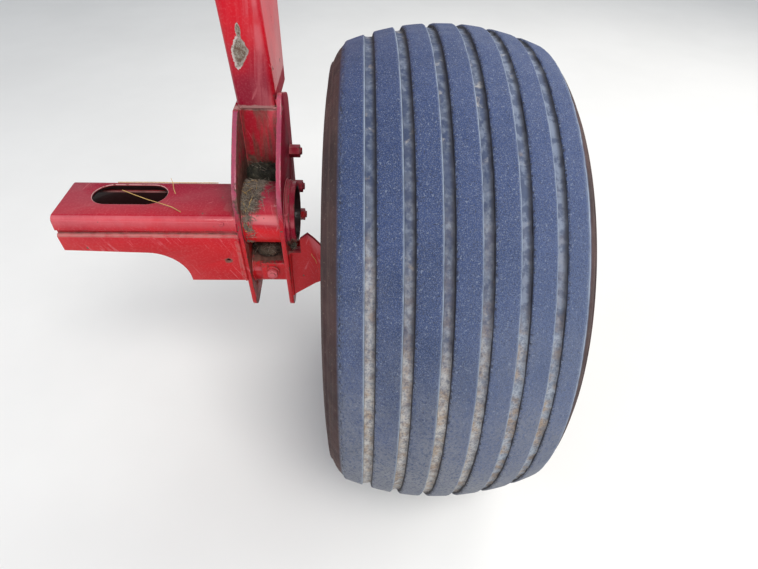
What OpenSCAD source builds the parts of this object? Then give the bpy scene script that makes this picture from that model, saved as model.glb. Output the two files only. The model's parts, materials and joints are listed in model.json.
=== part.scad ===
// Round baler running gear, right-hand end: a free-rolling implement wheel on a stub
// spindle, carried by a fabricated axle end and the foot of a frame leg.
// Origin: middle of the top sheet at the beam's sawn inboard end. +X rearwards,
// +Y outboard (the wheel's side), +Z up. All sizes are millimetres.

/* [Tyre] */
// Outside diameter of the tyre
tyre_d = 787; // [740:1:830]
// Width of the tyre across its sidewalls
section_w = 343; // [325:1:360]
// Width of the tread
tread_w = 292; // [270:1:300]
// Radius of the crown arc across the tread
crown_r = 395; // [360:1:520]
// Number of ribs round the tread
rib_count = 7; // [5:1:9]
// Width of a groove at the tread surface
groove_w = 13.7; // [8:0.1:16]
// Width of a groove at its floor
groove_floor_w = 8.5; // [4:0.1:12]
// Depth of the worn grooves
groove_depth = 7; // [3:0.5:12]
// Thickness of rubber under the grooves
tread_wall = 17; // [12:0.5:24]
// Thickness of the sidewall at its widest
side_wall = 11; // [8:0.5:16]

/* [Rim] */
// Diameter of the bead seats
bead_d = 381; // [370:1:390]
// Width between the rim flanges
rim_w = 254; // [240:1:262]
// Height of the rim flanges over the bead seats
flange_h = 17.5; // [14:0.5:20]
// Thickness of the rim's sheet
rim_t = 4.5; // [3.5:0.1:6]
// Depth of the drop centre below the bead seats
well_depth = 26; // [20:1:34]
// Width of the floor of the drop centre
well_w = 62; // [50:1:80]
// Distance of the drop centre outboard of the middle plane
well_shift = 14; // [0:1:20]
// Thickness of the wheel disc
disc_t = 7; // [5:0.5:9]
// Diameter of the centre hole of the disc
disc_bore_d = 161; // [150:1:165]
// Pitch circle of the wheel studs
stud_pcd = 205; // [196:1:212]
// Number of wheel studs
stud_count = 6; // [4:1:8]
// Diameter of the stud holes in the disc
stud_hole_d = 20; // [19.5:0.5:22]
// Number of hand holes in the disc
hand_count = 6; // [4:1:8]
// Width of a hand hole along the radius
hand_w = 17; // [12:1:18]

/* [Hub] */
// Diameter of the hub flange
hub_flange_d = 244; // [240:1:252]
// Thickness of the hub flange
hub_flange_t = 15; // [12:1:20]
// Diameter of the hub barrel
hub_barrel_d = 112; // [104:1:124]
// Reach of the barrel inboard of the disc seat
hub_in = 96; // [84:1:110]
// Reach of the barrel outboard of the disc seat
hub_out = 44; // [34:1:54]
// Diameter of the wheel studs
stud_d = 18; // [16:1:19]
// Width of a wheel nut across its flats
nut_af = 27; // [24:1:30]
// Height of a wheel nut
nut_h = 16; // [14:1:20]
// Diameter of the dust cap
cap_d = 92; // [84:1:100]
// Length of the dust cap outside the hub
cap_len = 34; // [28:1:44]

/* [Spindle] */
// Height of the beam's top over the spindle axis
spindle_drop = 134; // [128:1:144]
// Distance from the beam's inboard end to the wheel's middle plane
wheel_y = 600; // [590:1:640]
// Diameter of the spindle where the bracket holds it
spindle_d = 60; // [54:1:60]
// Diameter of the seal journal
seal_journal_d = 56; // [54:0.5:58]
// Diameter of the inboard bearing journal
inner_journal_d = 50; // [44:1:52]
// Diameter of the outboard bearing journal
outer_journal_d = 40; // [34:1:42]
// Diameter of the threaded spindle end
thread_d = 30; // [24:1:32]
// Running clearance of the hub on its journals, on the radius
run_fit = 0.05; // [0.02:0.01:0.08]
// Length of each bearing journal
journal_len = 28; // [22:1:32]

/* [Axle beam] */
// Width of the beam, front to rear
beam_w = 109; // [100:1:118]
// Height of the beam at its inboard end
beam_h = 67; // [60:1:74]
// Sheet thickness of the beam's channel and webs
beam_t = 6; // [5:0.5:8]
// Outside bend radius of the channel
bend_r = 10; // [8:1:15]
// Depth of the channel's side flanges
flange_depth = 25; // [22:1:30]
// Height of the recessed seam between the flanges and the webs
seam_h = 11; // [8:1:14]
// Overlap of the webs behind the side flanges
web_lap = 9; // [6:1:12]
// Depth of the beam next to the bracket, measured along the leaning webs
web_drop = 138; // [130:1:144]
// Radius of the round notch under the beam
notch_r = 60; // [50:1:62]
// Length of the deep part of the webs
deep_len = 94; // [80:1:110]
// Width of the slot in the beam's top
slot_w = 58; // [46:1:60]
// Length of the slot, tip to tip
slot_len = 120; // [100:1:140]
// Distance from the slot's outboard tip to the bracket
slot_to_bracket = 121; // [110:1:130]
// Distance of the slot forward of the beam's middle line
slot_shift = 12.8; // [9:0.2:15]
// Diameter of the small hole in the rear web
web_hole_d = 8; // [6:1:12]

/* [Bracket] */
// Distance from the beam's inboard end to the bracket
beam_len = 284; // [280:1:300]
// Thickness of the bracket plates
plate_t = 8; // [6:1:10]
// Clear gap between the bracket plates
plate_gap = 59; // [54:1:64]
// Diameter of the cross tube
tube_d = 100; // [90:1:104]
// Wall of the cross tube
tube_t = 8; // [6:1:12]
// Depth of the cross tube's middle below the beam's top
tube_sink = 24; // [20:1:30]
// Length of the cross tube outside the outer plate
tube_out = 16; // [12:1:18]
// Diameter of the collar that backs the outer plate
collar_d = 107; // [104:1:112]
// Thickness of the collar
collar_t = 7.5; // [5:0.5:9]
// Height of the lock tab beside the spindle
tab_h = 36; // [30:1:40]
// Length of the lock tab inboard of the outer plate
tab_len = 41; // [36:1:50]
// Thickness of the lock tab
tab_t = 8; // [6:1:10]
// Diameter of the lock bolt
lock_bolt_d = 10; // [8:1:12]
// Width of the lock nut across its flats
lock_nut_af = 16; // [14:1:20]
// Diameter of the plate bolts
plate_bolt_d = 12; // [10:1:16]
// Width of the plate nuts across their flats
plate_nut_af = 19; // [17:1:24]
// Length of the wheel-side gussets
gusset_len = 58; // [52:1:62]
// Thickness of the wheel-side gussets
gusset_t = 6; // [5:0.5:8]
// Length of the bent lip of the rear gusset
lip_len = 15; // [10:1:20]
// Bend of the lip, in degrees
lip_bend = 20; // [10:1:30]

/* [Frame leg] */
// Height of the leg's sawn end over the beam's top
leg_reach = 398; // [370:1:430]
// Height of the leg's lower end over the beam's top
leg_rise = 133; // [126:1:140]
// Depth of the leg at its lower end, front to rear
leg_depth = 115; // [100:1:125]
// Slope of the leg's front face, in degrees
leg_flare = 22; // [0:1:28]
// Lean of the leg towards the machine, in degrees
leg_lean = 3.6; // [0:0.2:5]
// Wall of the leg
leg_t = 6; // [5:0.5:8]
// Outside corner radius of the leg
leg_r = 12; // [9:1:14]
// Thickness of the foot plate between the bracket plates
foot_t = 8; // [6:1:10]

/* [Hidden] */
$fn = 96;
seat_gap = 0.2;                       // between pieces that sit in or on each other
air = 1;                              // how far a cutter passes the face that it cuts
inner_y = beam_len;                   // inboard face of the inner plate
outer_y = inner_y + plate_t + plate_gap;
bracket_end = outer_y + plate_t;
between_y = inner_y + plate_t;
bead_r = bead_d / 2;
tyre_r = tyre_d / 2;
rib_w = (tread_w - (rib_count - 1) * groove_w) / rib_count;
pitch = rib_w + groove_w;
leg_rear = -50;                       // rear face of the leg
leg_inset = 5;                        // step from the inner plate's face to the leg's
plate_front = -126;                   // front edge of the bracket plates
spindle_stub = 4;                     // how far the spindle shows inboard of the inner plate
plate_foot = 57;                      // how far the plates reach under the spindle axis
plate_bolt_x = -84;
plate_bolt_z = [177, 108, 48];        // height of each plate bolt over the spindle axis
web_hole_in = 24;                     // small hole, inboard of the bracket
web_hole_up = 49;                     // and over the webs' lower edge
edge_x = 55;                          // rearmost point of the bracket plates
plate_lean = 6.5;                     // lean of the plates' rear edges and of the webs
notch_lip = 6;                        // how far the webs reach under the belly plate
spindle_z = beam_t / 2 - spindle_drop;
tube_z = beam_t / 2 - tube_sink;
leg_foot = beam_t / 2 + leg_rise;
leg_top = beam_t / 2 + leg_reach;

// Places and helpers

// Turns a shape made along +Z to the spindle axis, w = 0 at the wheel's middle plane
module on_spindle() {
    translate([0, wheel_y, spindle_z]) rotate([-90, 0, 0]) children();
}

// Extrudes a profile drawn in x and z from y0 outboard by len
module across(y0, len) {
    translate([0, y0 + len, 0]) rotate([90, 0, 0]) linear_extrude(len) children();
}

// Extrudes a profile drawn in y and z from x0 rearwards by len
module along_x(x0, len) {
    translate([x0, 0, 0]) rotate([90, 0, 90]) linear_extrude(len) children();
}

function unit(v) = v / norm(v);
function side(a, b) = let (d = unit(b - a)) [-d[1], d[0]];
// Path moved sideways by t, each corner mitred
function shifted(path, t) = [for (i = [0 : len(path) - 1])
    let (n1 = side(path[max(i - 1, 0)], path[max(i, 1)]),
         n2 = side(path[min(i, len(path) - 2)], path[min(i + 1, len(path) - 1)]),
         n = unit(n1 + n2))
    path[i] + n * t / (n * n1)];
function reversed(list) = [for (i = [len(list) - 1 : -1 : 0]) list[i]];
function sheet(path, t) = concat(path, reversed(shifted(path, t)));
function arc(c, r, a0, a1, n = 6) = [for (i = [0 : n])
    let (a = a0 + (a1 - a0) * i / n) c + r * [cos(a), sin(a)]];

// Wheel

function crown(w) = tyre_r - crown_r + sqrt(crown_r * crown_r - w * w);
side_mid = bead_r + 0.47 * (tyre_r - bead_r);
side_half = 0.385 * (tyre_r - bead_r);
side_base = tread_w / 2 - 10;
// Points [radius, w] round the outer sidewall from the shoulder in to the bead
function sidewall(wall, a0, a1) = [for (i = [0 : 10])
    let (a = a0 + (a1 - a0) * i / 10)
    [side_mid + (side_half - wall * 0.4) * sin(a),
     side_base + (section_w / 2 - side_base) * cos(a) - wall]];
function tread_points() = [for (i = [0 : rib_count - 1])
    let (w0 = -tread_w / 2 + i * pitch,
         w1 = w0 + rib_w,
         wf = w1 + groove_w / 2)
    each concat([for (k = [0 : 3]) let (w = w0 + (w1 - w0) * k / 3) [crown(w), w]],
                i < rib_count - 1
                    ? [for (s = [-1, 1]) let (w = wf + s * groove_floor_w / 2)
                        [crown(w) - groove_depth, w]] : [])];
function mirrored(points) = [for (p = reversed(points)) [p[0], -p[1]]];

module tyre() {
    bead_w = rim_w / 2 - seat_gap;
    outer = concat(sidewall(0, 68, -72), [[bead_r + flange_h + 2, bead_w + 8],
        [bead_r + flange_h + 1, bead_w - 1], [bead_r + 4, bead_w], [bead_r + seat_gap, bead_w - 4]]);
    inner = concat([[bead_r + seat_gap, bead_w - 22], [bead_r + 14, bead_w - 18]],
        reversed(sidewall(side_wall, 56, -60)));
    floor_r = crown(0) - groove_depth - tread_wall;
    crown_in = [for (k = [1 : 3]) let (w = tread_w / 2 * (1 - k / 3) * 0.86)
        [floor_r - (crown(0) - crown(w)), w]];
    half_in = concat(inner, crown_in);
    color("dimgray") on_spindle() rotate_extrude($fn = 144)
        polygon(concat(tread_points(), outer, half_in, mirrored(half_in), mirrored(outer)));
}

rim_half = rim_w / 2;
well_r = bead_r - well_depth;
function rim_side(s) = [
    [well_r, well_shift + s * well_w / 2],
    [bead_r - 5, well_shift + s * (well_w / 2 + 15)],
    [bead_r - 1.5, well_shift * 0.5 + s * (rim_half - 30)],
    [bead_r, s * (rim_half - 3)],
    [bead_r + 3, s * rim_half],
    [bead_r + flange_h - 5, s * (rim_half + 0.5)],
    [bead_r + flange_h - 1, s * (rim_half + 4)],
    [bead_r + flange_h, s * (rim_half + 11)]];

module rim_band() {
    path = concat(reversed(rim_side(-1)), rim_side(1));
    color("gainsboro") on_spindle() difference() {
        rotate_extrude($fn = 144) polygon(sheet(path, rim_t));
        valve_place() cylinder(r = 7.5, h = 60, center = true, $fn = 32);
    }
}

disc_path = [
    [disc_bore_d / 2, 0], [stud_pcd / 2 + 18, 0], [stud_pcd / 2 + 30, 4],
    [well_r - rim_t - 16, 14], [well_r - rim_t - 4, 22], [well_r - rim_t - seat_gap, 32],
    [well_r - rim_t - seat_gap, well_shift + well_w / 2 - 3]];

module wheel_disc() {
    color("gainsboro") on_spindle() difference() {
        rotate_extrude($fn = 144) polygon(sheet(disc_path, disc_t));
        for (i = [0 : stud_count - 1]) rotate(i * 360 / stud_count)
            translate([stud_pcd / 2, 0, -air]) cylinder(d = stud_hole_d, h = disc_t + 2 * air);
        for (i = [0 : hand_count - 1]) rotate((i + 0.5) * 360 / hand_count)
            translate([stud_pcd / 2 + 33, 0, -10])
            linear_extrude(50) hand_hole();
    }
}

module hand_hole() {
    for (s = [-1, 1]) translate([0, s * 14]) circle(d = hand_w, $fn = 32);
    square([hand_w, 28], center = true);
}

valve_lean = 38;
module valve_place() {
    rotate(360 / stud_count) translate([bead_r - 16, 0, well_shift + well_w / 2 + 6.5])
        rotate([0, valve_lean, 0]) children();
}

module valve_stem() {
    color("black") on_spindle() valve_place() translate([0, 0, rim_t * 0.5]) {
        rotate([180, 0, 0]) cylinder(r = 7.2, h = 12, $fn = 32);
        cylinder(r = 4, h = 30, $fn = 32);
    }
}

module hub() {
    in = -hub_in;
    land = journal_len;
    ri = inner_journal_d / 2 + run_fit;
    ro = outer_journal_d / 2 + run_fit;
    barrel = hub_barrel_d / 2;
    pilot = disc_bore_d / 2 - seat_gap;
    color("darkslategray") on_spindle() difference() {
        rotate_extrude() polygon([
            [seal_r + seat_gap, in], [barrel - 3, in], [barrel, in + 3],
            [barrel, -hub_flange_t - 22], [barrel + 12, -hub_flange_t],
            [hub_flange_d / 2 - 2, -hub_flange_t], [hub_flange_d / 2, -hub_flange_t + 2],
            [hub_flange_d / 2, 0], [pilot, 0], [pilot, 6], [pilot - 3, disc_t + 4],
            [cap_d / 2 + 6, disc_t + 4], [cap_d / 2 + 1, 22], [cap_d / 2, hub_out],
            [cap_d / 2 - 8, hub_out], [cap_d / 2 - 8, hub_out - 14],
            [ro, hub_out - 14], [ro, hub_out - 14 - land], [ri + 6, hub_out - 20 - land],
            [ri + 6, in + seal_w + land + 6], [ri, in + seal_w + land], [ri, in + seal_w],
            [seal_r + seat_gap, in + seal_w]]);
        for (i = [0 : stud_count - 1]) rotate(i * 360 / stud_count)
            translate([stud_pcd / 2, 0, -hub_flange_t - air])
            cylinder(r = stud_d / 2 + seat_gap, h = hub_flange_t + 2 * air, $fn = 48);
    }
}

module wheel_studs() {
    color("silver") on_spindle() for (i = [0 : stud_count - 1])
        rotate(i * 360 / stud_count) translate([stud_pcd / 2, 0, 0]) {
            translate([0, 0, -hub_flange_t - 7]) cylinder(d = stud_d + 8, h = 7, $fn = 48);
            translate([0, 0, -hub_flange_t]) cylinder(d = stud_d, h = hub_flange_t + disc_t + nut_h + 9, $fn = 48);
            translate([0, 0, disc_t]) cylinder(d = nut_af + 6, h = 3, $fn = 48);
            translate([0, 0, disc_t]) cylinder(d = nut_af / cos(30), h = nut_h, $fn = 6);
        }
}

module dust_cap() {
    r = cap_d / 2;
    color("dimgray") on_spindle() rotate_extrude() polygon(concat(
        [[r - 11, hub_out - 8], [r - 8 - seat_gap, hub_out - 8], [r - 8 - seat_gap, hub_out],
         [r, hub_out], [r, hub_out + 4], [r - 5, hub_out + 6]],
        arc([r - 15, hub_out + cap_len - 10], 10, 0, 90),
        [[0, hub_out + cap_len], [0, hub_out + cap_len - 4]],
        arc([r - 15, hub_out + cap_len - 10], 6, 90, 0),
        [[r - 11, hub_out + 4]]));
}

seal_w = 12;
seal_r = hub_barrel_d / 2 - 12;
module hub_seal() {
    color("black") on_spindle() rotate_extrude() polygon([
        [seal_journal_d / 2 + 0.3, -hub_in + 1], [seal_r, -hub_in - 1],
        [seal_r, -hub_in + seal_w - 1], [seal_journal_d / 2 + 0.3, -hub_in + seal_w - 2]]);
}

module spindle() {
    in = -hub_in;
    start = inner_y - wheel_y;
    o0 = hub_out - 14 - journal_len;
    color("slategray") on_spindle() rotate_extrude() polygon([
        [0, start - spindle_stub], [spindle_d / 2 - 2, start - spindle_stub],
        [spindle_d / 2, start - spindle_stub + 2],
        [spindle_d / 2, in - 14], [seal_journal_d / 2, in - 8],
        [seal_journal_d / 2, in + seal_w - 1], [inner_journal_d / 2, in + seal_w],
        [inner_journal_d / 2, in + seal_w + journal_len],
        [outer_journal_d / 2, o0 - 4], [outer_journal_d / 2, hub_out - 13],
        [thread_d / 2, hub_out - 12], [thread_d / 2, hub_out + 14],
        [thread_d / 2 - 2, hub_out + 16], [0, hub_out + 16]]);
}

module spindle_nut() {
    color("silver") on_spindle() translate([0, 0, hub_out - 12]) difference() {
        cylinder(d = thread_d * 1.9, h = 18, $fn = 6);
        translate([0, 0, -air]) cylinder(d = thread_d + 2 * seat_gap, h = 18 + 2 * air, $fn = 48);
    }
}

// Axle beam

beam_top = beam_t / 2;
beam_low = beam_top - beam_h;
seam_z = beam_top - flange_depth;
module channel_outline(r, w, top, low) {
    intersection() {
        translate([-w / 2, low]) square([w, top - low]);
        union() {
            for (s = [-1, 1]) translate([s * (w / 2 - r), top - r]) circle(r);
            translate([-w / 2, low]) square([w, top - r - low]);
            translate([-w / 2 + r, low]) square([w - 2 * r, top - low]);
        }
    }
}

module beam_channel() {
    color("crimson") difference() {
        across(0, inner_y) difference() {
            channel_outline(bend_r, beam_w, beam_top, seam_z);
            channel_outline(bend_r - beam_t, beam_w - 2 * beam_t, beam_top - beam_t, seam_z - air);
        }
        translate([-slot_shift, inner_y - slot_to_bracket - slot_len / 2, beam_top - beam_t - air])
            linear_extrude(beam_t + 2 * air) slot();
    }
}

module slot() {
    reach = slot_len / 2 - slot_w / 2;
    for (s = [-1, 1]) translate([0, s * reach]) circle(d = slot_w);
    square([slot_w, 2 * reach], center = true);
}

web_low = beam_top - web_drop;
web_top = seam_z - seam_h;
lap_top = min(seam_z + web_lap, beam_top - bend_r);   // below the bend
notch_c = [inner_y - deep_len - notch_r, web_low + notch_lip];
notch = arc(notch_c, notch_r, 90, 0, 12);
web_x = beam_w / 2 - beam_t;

// Tilts a shape inwards under the web's upper outer edge
module leaning() {
    edge = [beam_w / 2, 0, web_top];
    translate(edge) rotate([0, plate_lean, 0]) translate(-edge) children();
}

// Web that starts flush with the channel and leans in under it, flush with the plates' rear edges,
// with an upright lap set in behind the flange; s = 1 at the rear
module web(s) {
    mirror([(1 - s) / 2, 0, 0]) {
        leaning() along_x(web_x, beam_t) polygon(concat([[0, web_top], [0, beam_low]], notch,
            [[notch_c[0] + notch_r, web_low], [inner_y, web_low], [inner_y, web_top]]));
        along_x(web_x - beam_t, beam_t) polygon([[0, lap_top], [0, web_top - beam_t],
            [inner_y, web_top - beam_t], [inner_y, lap_top]]);
    }
}

module rear_web() {
    color("crimson") difference() {
        web(1);
        leaning() translate([web_x - air, inner_y - web_hole_in, web_low + web_hole_up])
            rotate([0, 90, 0]) cylinder(d = web_hole_d, h = beam_t + 2 * air);
    }
}

module front_web() {
    color("crimson") web(-1);
}

// Half width between the leaning webs at a height
function between_webs(z) = beam_w / 2 - beam_t / cos(plate_lean) - (web_top - z) * tan(plate_lean);

// Closes the box from the inboard end to the bracket, between the webs and round the spindle's end
module belly_plate() {
    low = web_low - beam_t;
    color("crimson") difference() {
        intersection() {
            along_x(-web_x, 2 * web_x)
                polygon(sheet(concat([[0, beam_low]], notch, [[inner_y, notch_c[1]]]), beam_t));
            across(-air, inner_y + 2 * air) polygon([[-between_webs(web_top), web_top],
                [between_webs(web_top), web_top], [between_webs(low), low], [-between_webs(low), low]]);
        }
        translate([0, inner_y - spindle_stub - 2, spindle_z]) rotate([-90, 0, 0])
            cylinder(d = spindle_d + 4, h = spindle_stub + 2 + air);
    }
}

// Bracket

plate_top = leg_foot + 20;
corner_r = 65;
corner_c = [edge_x - corner_r, tube_z + 38];
bow_r = 590;
bow_a = 41;                           // where the corner runs into the bow
bow_end = 52;
bow_c = corner_c - (bow_r - corner_r) * [cos(bow_a), sin(bow_a)];
tip_r = 12;                           // upper rear corner
tip_c = [leg_rear - 9, plate_top - tip_r];
top_slope = 22;                       // fall of the outer plate's top to the front
front_r = 24;
foot_r = 20;
foot_z = spindle_z - plate_foot;
lean_z = web_top + 5;                 // the rear edge is plumb above this
foot_x = edge_x - foot_r * cos(plate_lean)
    - (lean_z - foot_z + foot_r * sin(plate_lean)) * tan(plate_lean);
heel_r = 26;
heel_c = [foot_x - 62, foot_z + 12];
module plate_outline() {
    front_x = plate_front + front_r;
    front_z = tip_c[1] + tip_r - front_r - (tip_c[0] - front_x) * tan(top_slope);
    polygon(concat(
        arc(bow_c, bow_r, bow_end, bow_a, 4),
        arc(corner_c, corner_r, bow_a, 0, 6),
        [[edge_x, lean_z]],
        arc([foot_x, foot_z], foot_r, -plate_lean, -90, 4),
        arc(heel_c, heel_r, -90, -160, 4),
        [[plate_front, spindle_z + 60]],
        arc([front_x, front_z], front_r, 180, 90 + top_slope, 4),
        arc(tip_c, tip_r, 90 + top_slope, 15, 4)));
}

module bracket_plate(y0) {
    across(y0, plate_t) difference() {
        plate_outline();
        translate([0, tube_z]) circle(d = tube_d + 2 * seat_gap);
        translate([0, spindle_z]) circle(d = spindle_d + 2 * seat_gap);
    }
}

// The inner plate ends under the leg, which stands on its edge
module inner_plate() {
    color("firebrick") difference() {
        bracket_plate(inner_y);
        translate([plate_front - air, inner_y - air, leg_foot - seat_gap])
            cube([edge_x - plate_front, plate_t + 2 * air, plate_top]);
    }
}

module outer_plate() {
    color("firebrick") difference() {
        bracket_plate(outer_y);
        at_plate_bolts() translate([0, 0, -air])
            cylinder(d = plate_bolt_d + 2 * seat_gap, h = plate_t + 2 * air, $fn = 48);
    }
}

// Runs along each plate bolt, z = 0 at the outer plate's inboard face
module at_plate_bolts() {
    for (z = plate_bolt_z) translate([plate_bolt_x, outer_y, spindle_z + z])
        rotate([-90, 0, 0]) children();
}

module cross_tube() {
    color("crimson") translate([0, inner_y, tube_z]) rotate([-90, 0, 0]) difference() {
        cylinder(d = tube_d, h = bracket_end + tube_out - inner_y);
        translate([0, 0, -air])
            cylinder(d = tube_d - 2 * tube_t, h = bracket_end + tube_out - inner_y + 2 * air);
    }
}

module tube_collar() {
    color("crimson") translate([0, bracket_end, tube_z]) rotate([-90, 0, 0]) difference() {
        cylinder(d = collar_d, h = collar_t);
        translate([0, 0, -air]) cylinder(d = tube_d + 2 * seat_gap, h = collar_t + 2 * air);
    }
}

tab_x = spindle_d / 2 + seat_gap;
tab_mid = spindle_z + 13;
bolt_y = outer_y - 22;
module lock_tab() {
    color("crimson") difference() {
        translate([tab_x, outer_y - tab_len, tab_mid - tab_h / 2]) cube([tab_t, tab_len, tab_h]);
        translate([tab_x - air, bolt_y, tab_mid]) rotate([0, 90, 0])
            cylinder(d = lock_bolt_d + 2 * seat_gap, h = tab_t + 2 * air, $fn = 48);
    }
}

module lock_bolt() {
    nut_h = 0.8 * lock_bolt_d;
    color("crimson") translate([tab_x, bolt_y, tab_mid]) rotate([0, 90, 0]) {
        cylinder(d = lock_bolt_d, h = tab_t + nut_h + 4, $fn = 48);
        translate([0, 0, tab_t]) cylinder(d = lock_nut_af + 6, h = 2.5, $fn = 48);
        translate([0, 0, tab_t]) cylinder(d = lock_nut_af / cos(30), h = nut_h + 2, $fn = 6);
    }
}

module plate_bolts() {
    head_h = 0.6 * plate_bolt_d;
    nut_h = 1.5 * plate_bolt_d;
    color("crimson") at_plate_bolts() {
        translate([0, 0, -head_h]) cylinder(d = plate_nut_af / cos(30), h = head_h, $fn = 6);
        cylinder(d = plate_bolt_d, h = plate_t + nut_h + 3, $fn = 48);
        translate([0, 0, plate_t]) cylinder(d = plate_nut_af / cos(30), h = nut_h, $fn = 6);
    }
}

end_rise = 67;                        // of the rear gusset's outboard end over the spindle axis
peak = [33, 91];                      // its highest corner
shoulder_rise = 80;                   // its upper edge beside the cross tube
ledge_rise = 52;                      // and under it
gusset_drop = 45;                     // lower edge under the spindle axis, at the bracket
tip_drop = 4;                         // and at the outboard end
clear_y = tube_out + 4;               // just outboard of the cross tube
// Lower edge and outboard end of a gusset, with the given heights over the spindle axis
function gusset_foot(end_rise) = [[0, -gusset_drop], [gusset_len, -tip_drop], [gusset_len, end_rise]];

module rear_gusset() {
    bend_y = gusset_len - lip_len;
    plan = [[tab_x, 0], [tab_x, bend_y],
            [tab_x + lip_len * sin(lip_bend), bend_y + lip_len * cos(lip_bend) + air]];
    color("crimson") translate([0, bracket_end, spindle_z]) intersection() {
        along_x(tab_x - air, gusset_t + lip_len) polygon(concat(gusset_foot(end_rise),
            [peak, [clear_y, shoulder_rise], [clear_y, ledge_rise], [0, ledge_rise]]));
        translate([0, 0, -gusset_drop - air]) linear_extrude(gusset_drop + peak[1] + 2 * air)
            polygon(sheet(plan, -gusset_t));
    }
}

module front_gusset() {
    color("crimson") translate([0, bracket_end, spindle_z])
        along_x(-tab_x - gusset_t, gusset_t) polygon(concat(gusset_foot(8), [[0, 30]]));
}

// Frame leg

leg_y = inner_y + leg_inset;
leg_w = outer_y - seat_gap - leg_y;
// Rounded rectangle from the low corner p, with its sides along x and y
module round_rect(p, size, r) {
    for (x = [p[0] + r, p[0] + size[0] - r], y = [p[1] + r, p[1] + size[1] - r])
        translate([x, y]) circle(r, $fn = 48);
    translate(p + [r, 0]) square(size - [2 * r, 0]);
    translate(p + [0, r]) square(size - [0, 2 * r]);
}

// Block of the leg set in by a wall, with its rear foot corner at the origin and its front face
// sloping away
module leg_block(wall, r) {
    run = leg_reach * tan(leg_flare);
    front = -leg_depth + wall / cos(leg_flare);
    dip = leg_w * tan(leg_flare);
    intersection() {
        across(wall, leg_w - 2 * wall) polygon([[-wall, -leg_r], [-wall, leg_reach],
            [front - run, leg_reach], [front + leg_r * tan(leg_flare), -leg_r]]);
        translate([0, 0, -leg_r - air]) linear_extrude(leg_reach + leg_r + 2 * air)
            round_rect([-leg_depth - run - dip, wall], [leg_depth + run + dip - wall, leg_w - 2 * wall], r);
    }
}

module frame_leg() {
    color("crimson") intersection() {
        translate([leg_rear, leg_y, leg_foot]) rotate([leg_lean, 0, 0]) difference() {
            leg_block(0, leg_r);
            leg_block(leg_t, leg_r - leg_t);
        }
        translate([leg_rear - leg_reach, 0, leg_foot])
            cube([leg_reach, outer_y - seat_gap, leg_top - leg_foot]);
    }
}

// Closes the gap between the plates behind the tube, set in from the leg's rear face
module foot_plate() {
    low = tube_z - 60;
    color("darkred") translate([leg_rear - foot_t - 4, between_y, low])
        cube([foot_t, plate_gap, leg_foot - low]);
}

tyre();
rim_band();
wheel_disc();
valve_stem();
hub();
wheel_studs();
dust_cap();
hub_seal();
spindle();
spindle_nut();
beam_channel();
rear_web();
front_web();
belly_plate();
cross_tube();
tube_collar();
inner_plate();
outer_plate();
lock_tab();
lock_bolt();
plate_bolts();
rear_gusset();
front_gusset();
frame_leg();
foot_plate();
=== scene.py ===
"""Looks of a round baler's wheel and axle end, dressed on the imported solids."""
import json
import logging
import math
from dataclasses import dataclass, field
from enum import Enum
from functools import partial, reduce
from typing import Iterable, NamedTuple, Optional, Sequence, Union

import bmesh
import bpy
from mathutils import Matrix, Vector


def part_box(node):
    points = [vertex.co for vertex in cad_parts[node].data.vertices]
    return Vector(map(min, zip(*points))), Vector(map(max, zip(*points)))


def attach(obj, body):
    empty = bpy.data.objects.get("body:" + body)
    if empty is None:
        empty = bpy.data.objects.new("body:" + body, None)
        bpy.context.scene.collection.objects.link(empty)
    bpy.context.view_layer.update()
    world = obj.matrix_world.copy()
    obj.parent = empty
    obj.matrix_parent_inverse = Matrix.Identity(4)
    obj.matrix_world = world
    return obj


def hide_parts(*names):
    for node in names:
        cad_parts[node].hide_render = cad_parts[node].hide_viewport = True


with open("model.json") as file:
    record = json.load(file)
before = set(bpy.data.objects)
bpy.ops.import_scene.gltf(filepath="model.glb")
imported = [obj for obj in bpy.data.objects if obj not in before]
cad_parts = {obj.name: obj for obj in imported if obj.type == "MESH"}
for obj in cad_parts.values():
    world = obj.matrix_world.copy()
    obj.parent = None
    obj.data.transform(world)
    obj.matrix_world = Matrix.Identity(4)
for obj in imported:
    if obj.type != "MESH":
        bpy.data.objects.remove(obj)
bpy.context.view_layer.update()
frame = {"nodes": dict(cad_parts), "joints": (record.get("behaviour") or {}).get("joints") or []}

LOG = logging.getLogger("axle_end")
WHEEL_CENTRE = Vector(frame["joints"][0]["pos_m"])
MM = 0.001
X, Y, Z = range(3)

Colour = tuple[float, float, float]
Triple = Sequence[float]
Socket = bpy.types.NodeSocket
Value = Union[Socket, float]
Tint = Union[Socket, Colour]
Material = bpy.types.Material
Mesh = bpy.types.Mesh
Piece = bpy.types.Object


class Body(Enum):
    """The bodies that pieces ride on."""

    AXLE = "axle_end"
    WHEEL = "wheel"


class Slot(Enum):
    """The record's material slots that the dressed pieces take."""

    TYRE = "tyre_rubber"
    RIM = "rim_paint"
    HUB = "hub_paint"
    ZINC = "zinc_plate"
    SEAL = "seal_rubber"
    RED = "red_paint"


@dataclass(frozen=True)
class Places:
    """Places on the axle end that its looks are tied to, in millimetres from the mount."""

    inner_face: float = 284.0
    gap_in: float = 292.0
    gap_out: float = 351.0
    outer_face: float = 359.0
    tube_z: float = -21.0
    spindle_z: float = -131.0
    seam_z: float = -33.0
    lap_foot: float = -40.0
    lap_top: float = -12.0
    lap_half: float = 42.6
    channel_half: float = 48.6
    web_half: float = 49.9
    web_lean: float = 0.1139
    notch: tuple[float, float] = (130.0, -126.0)
    notch_r: float = 60.0
    slot: tuple[float, float] = (-12.8, 103.0)
    slot_straight: float = 31.0


AT = Places()


@dataclass(frozen=True)
class Spot:
    """A ragged patch round a place, in millimetres, with noise features per metre."""

    centre: Triple
    half: Triple
    soft: float = 0.35
    ragged: float = 0.7
    scale: float = 130.0


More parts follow.
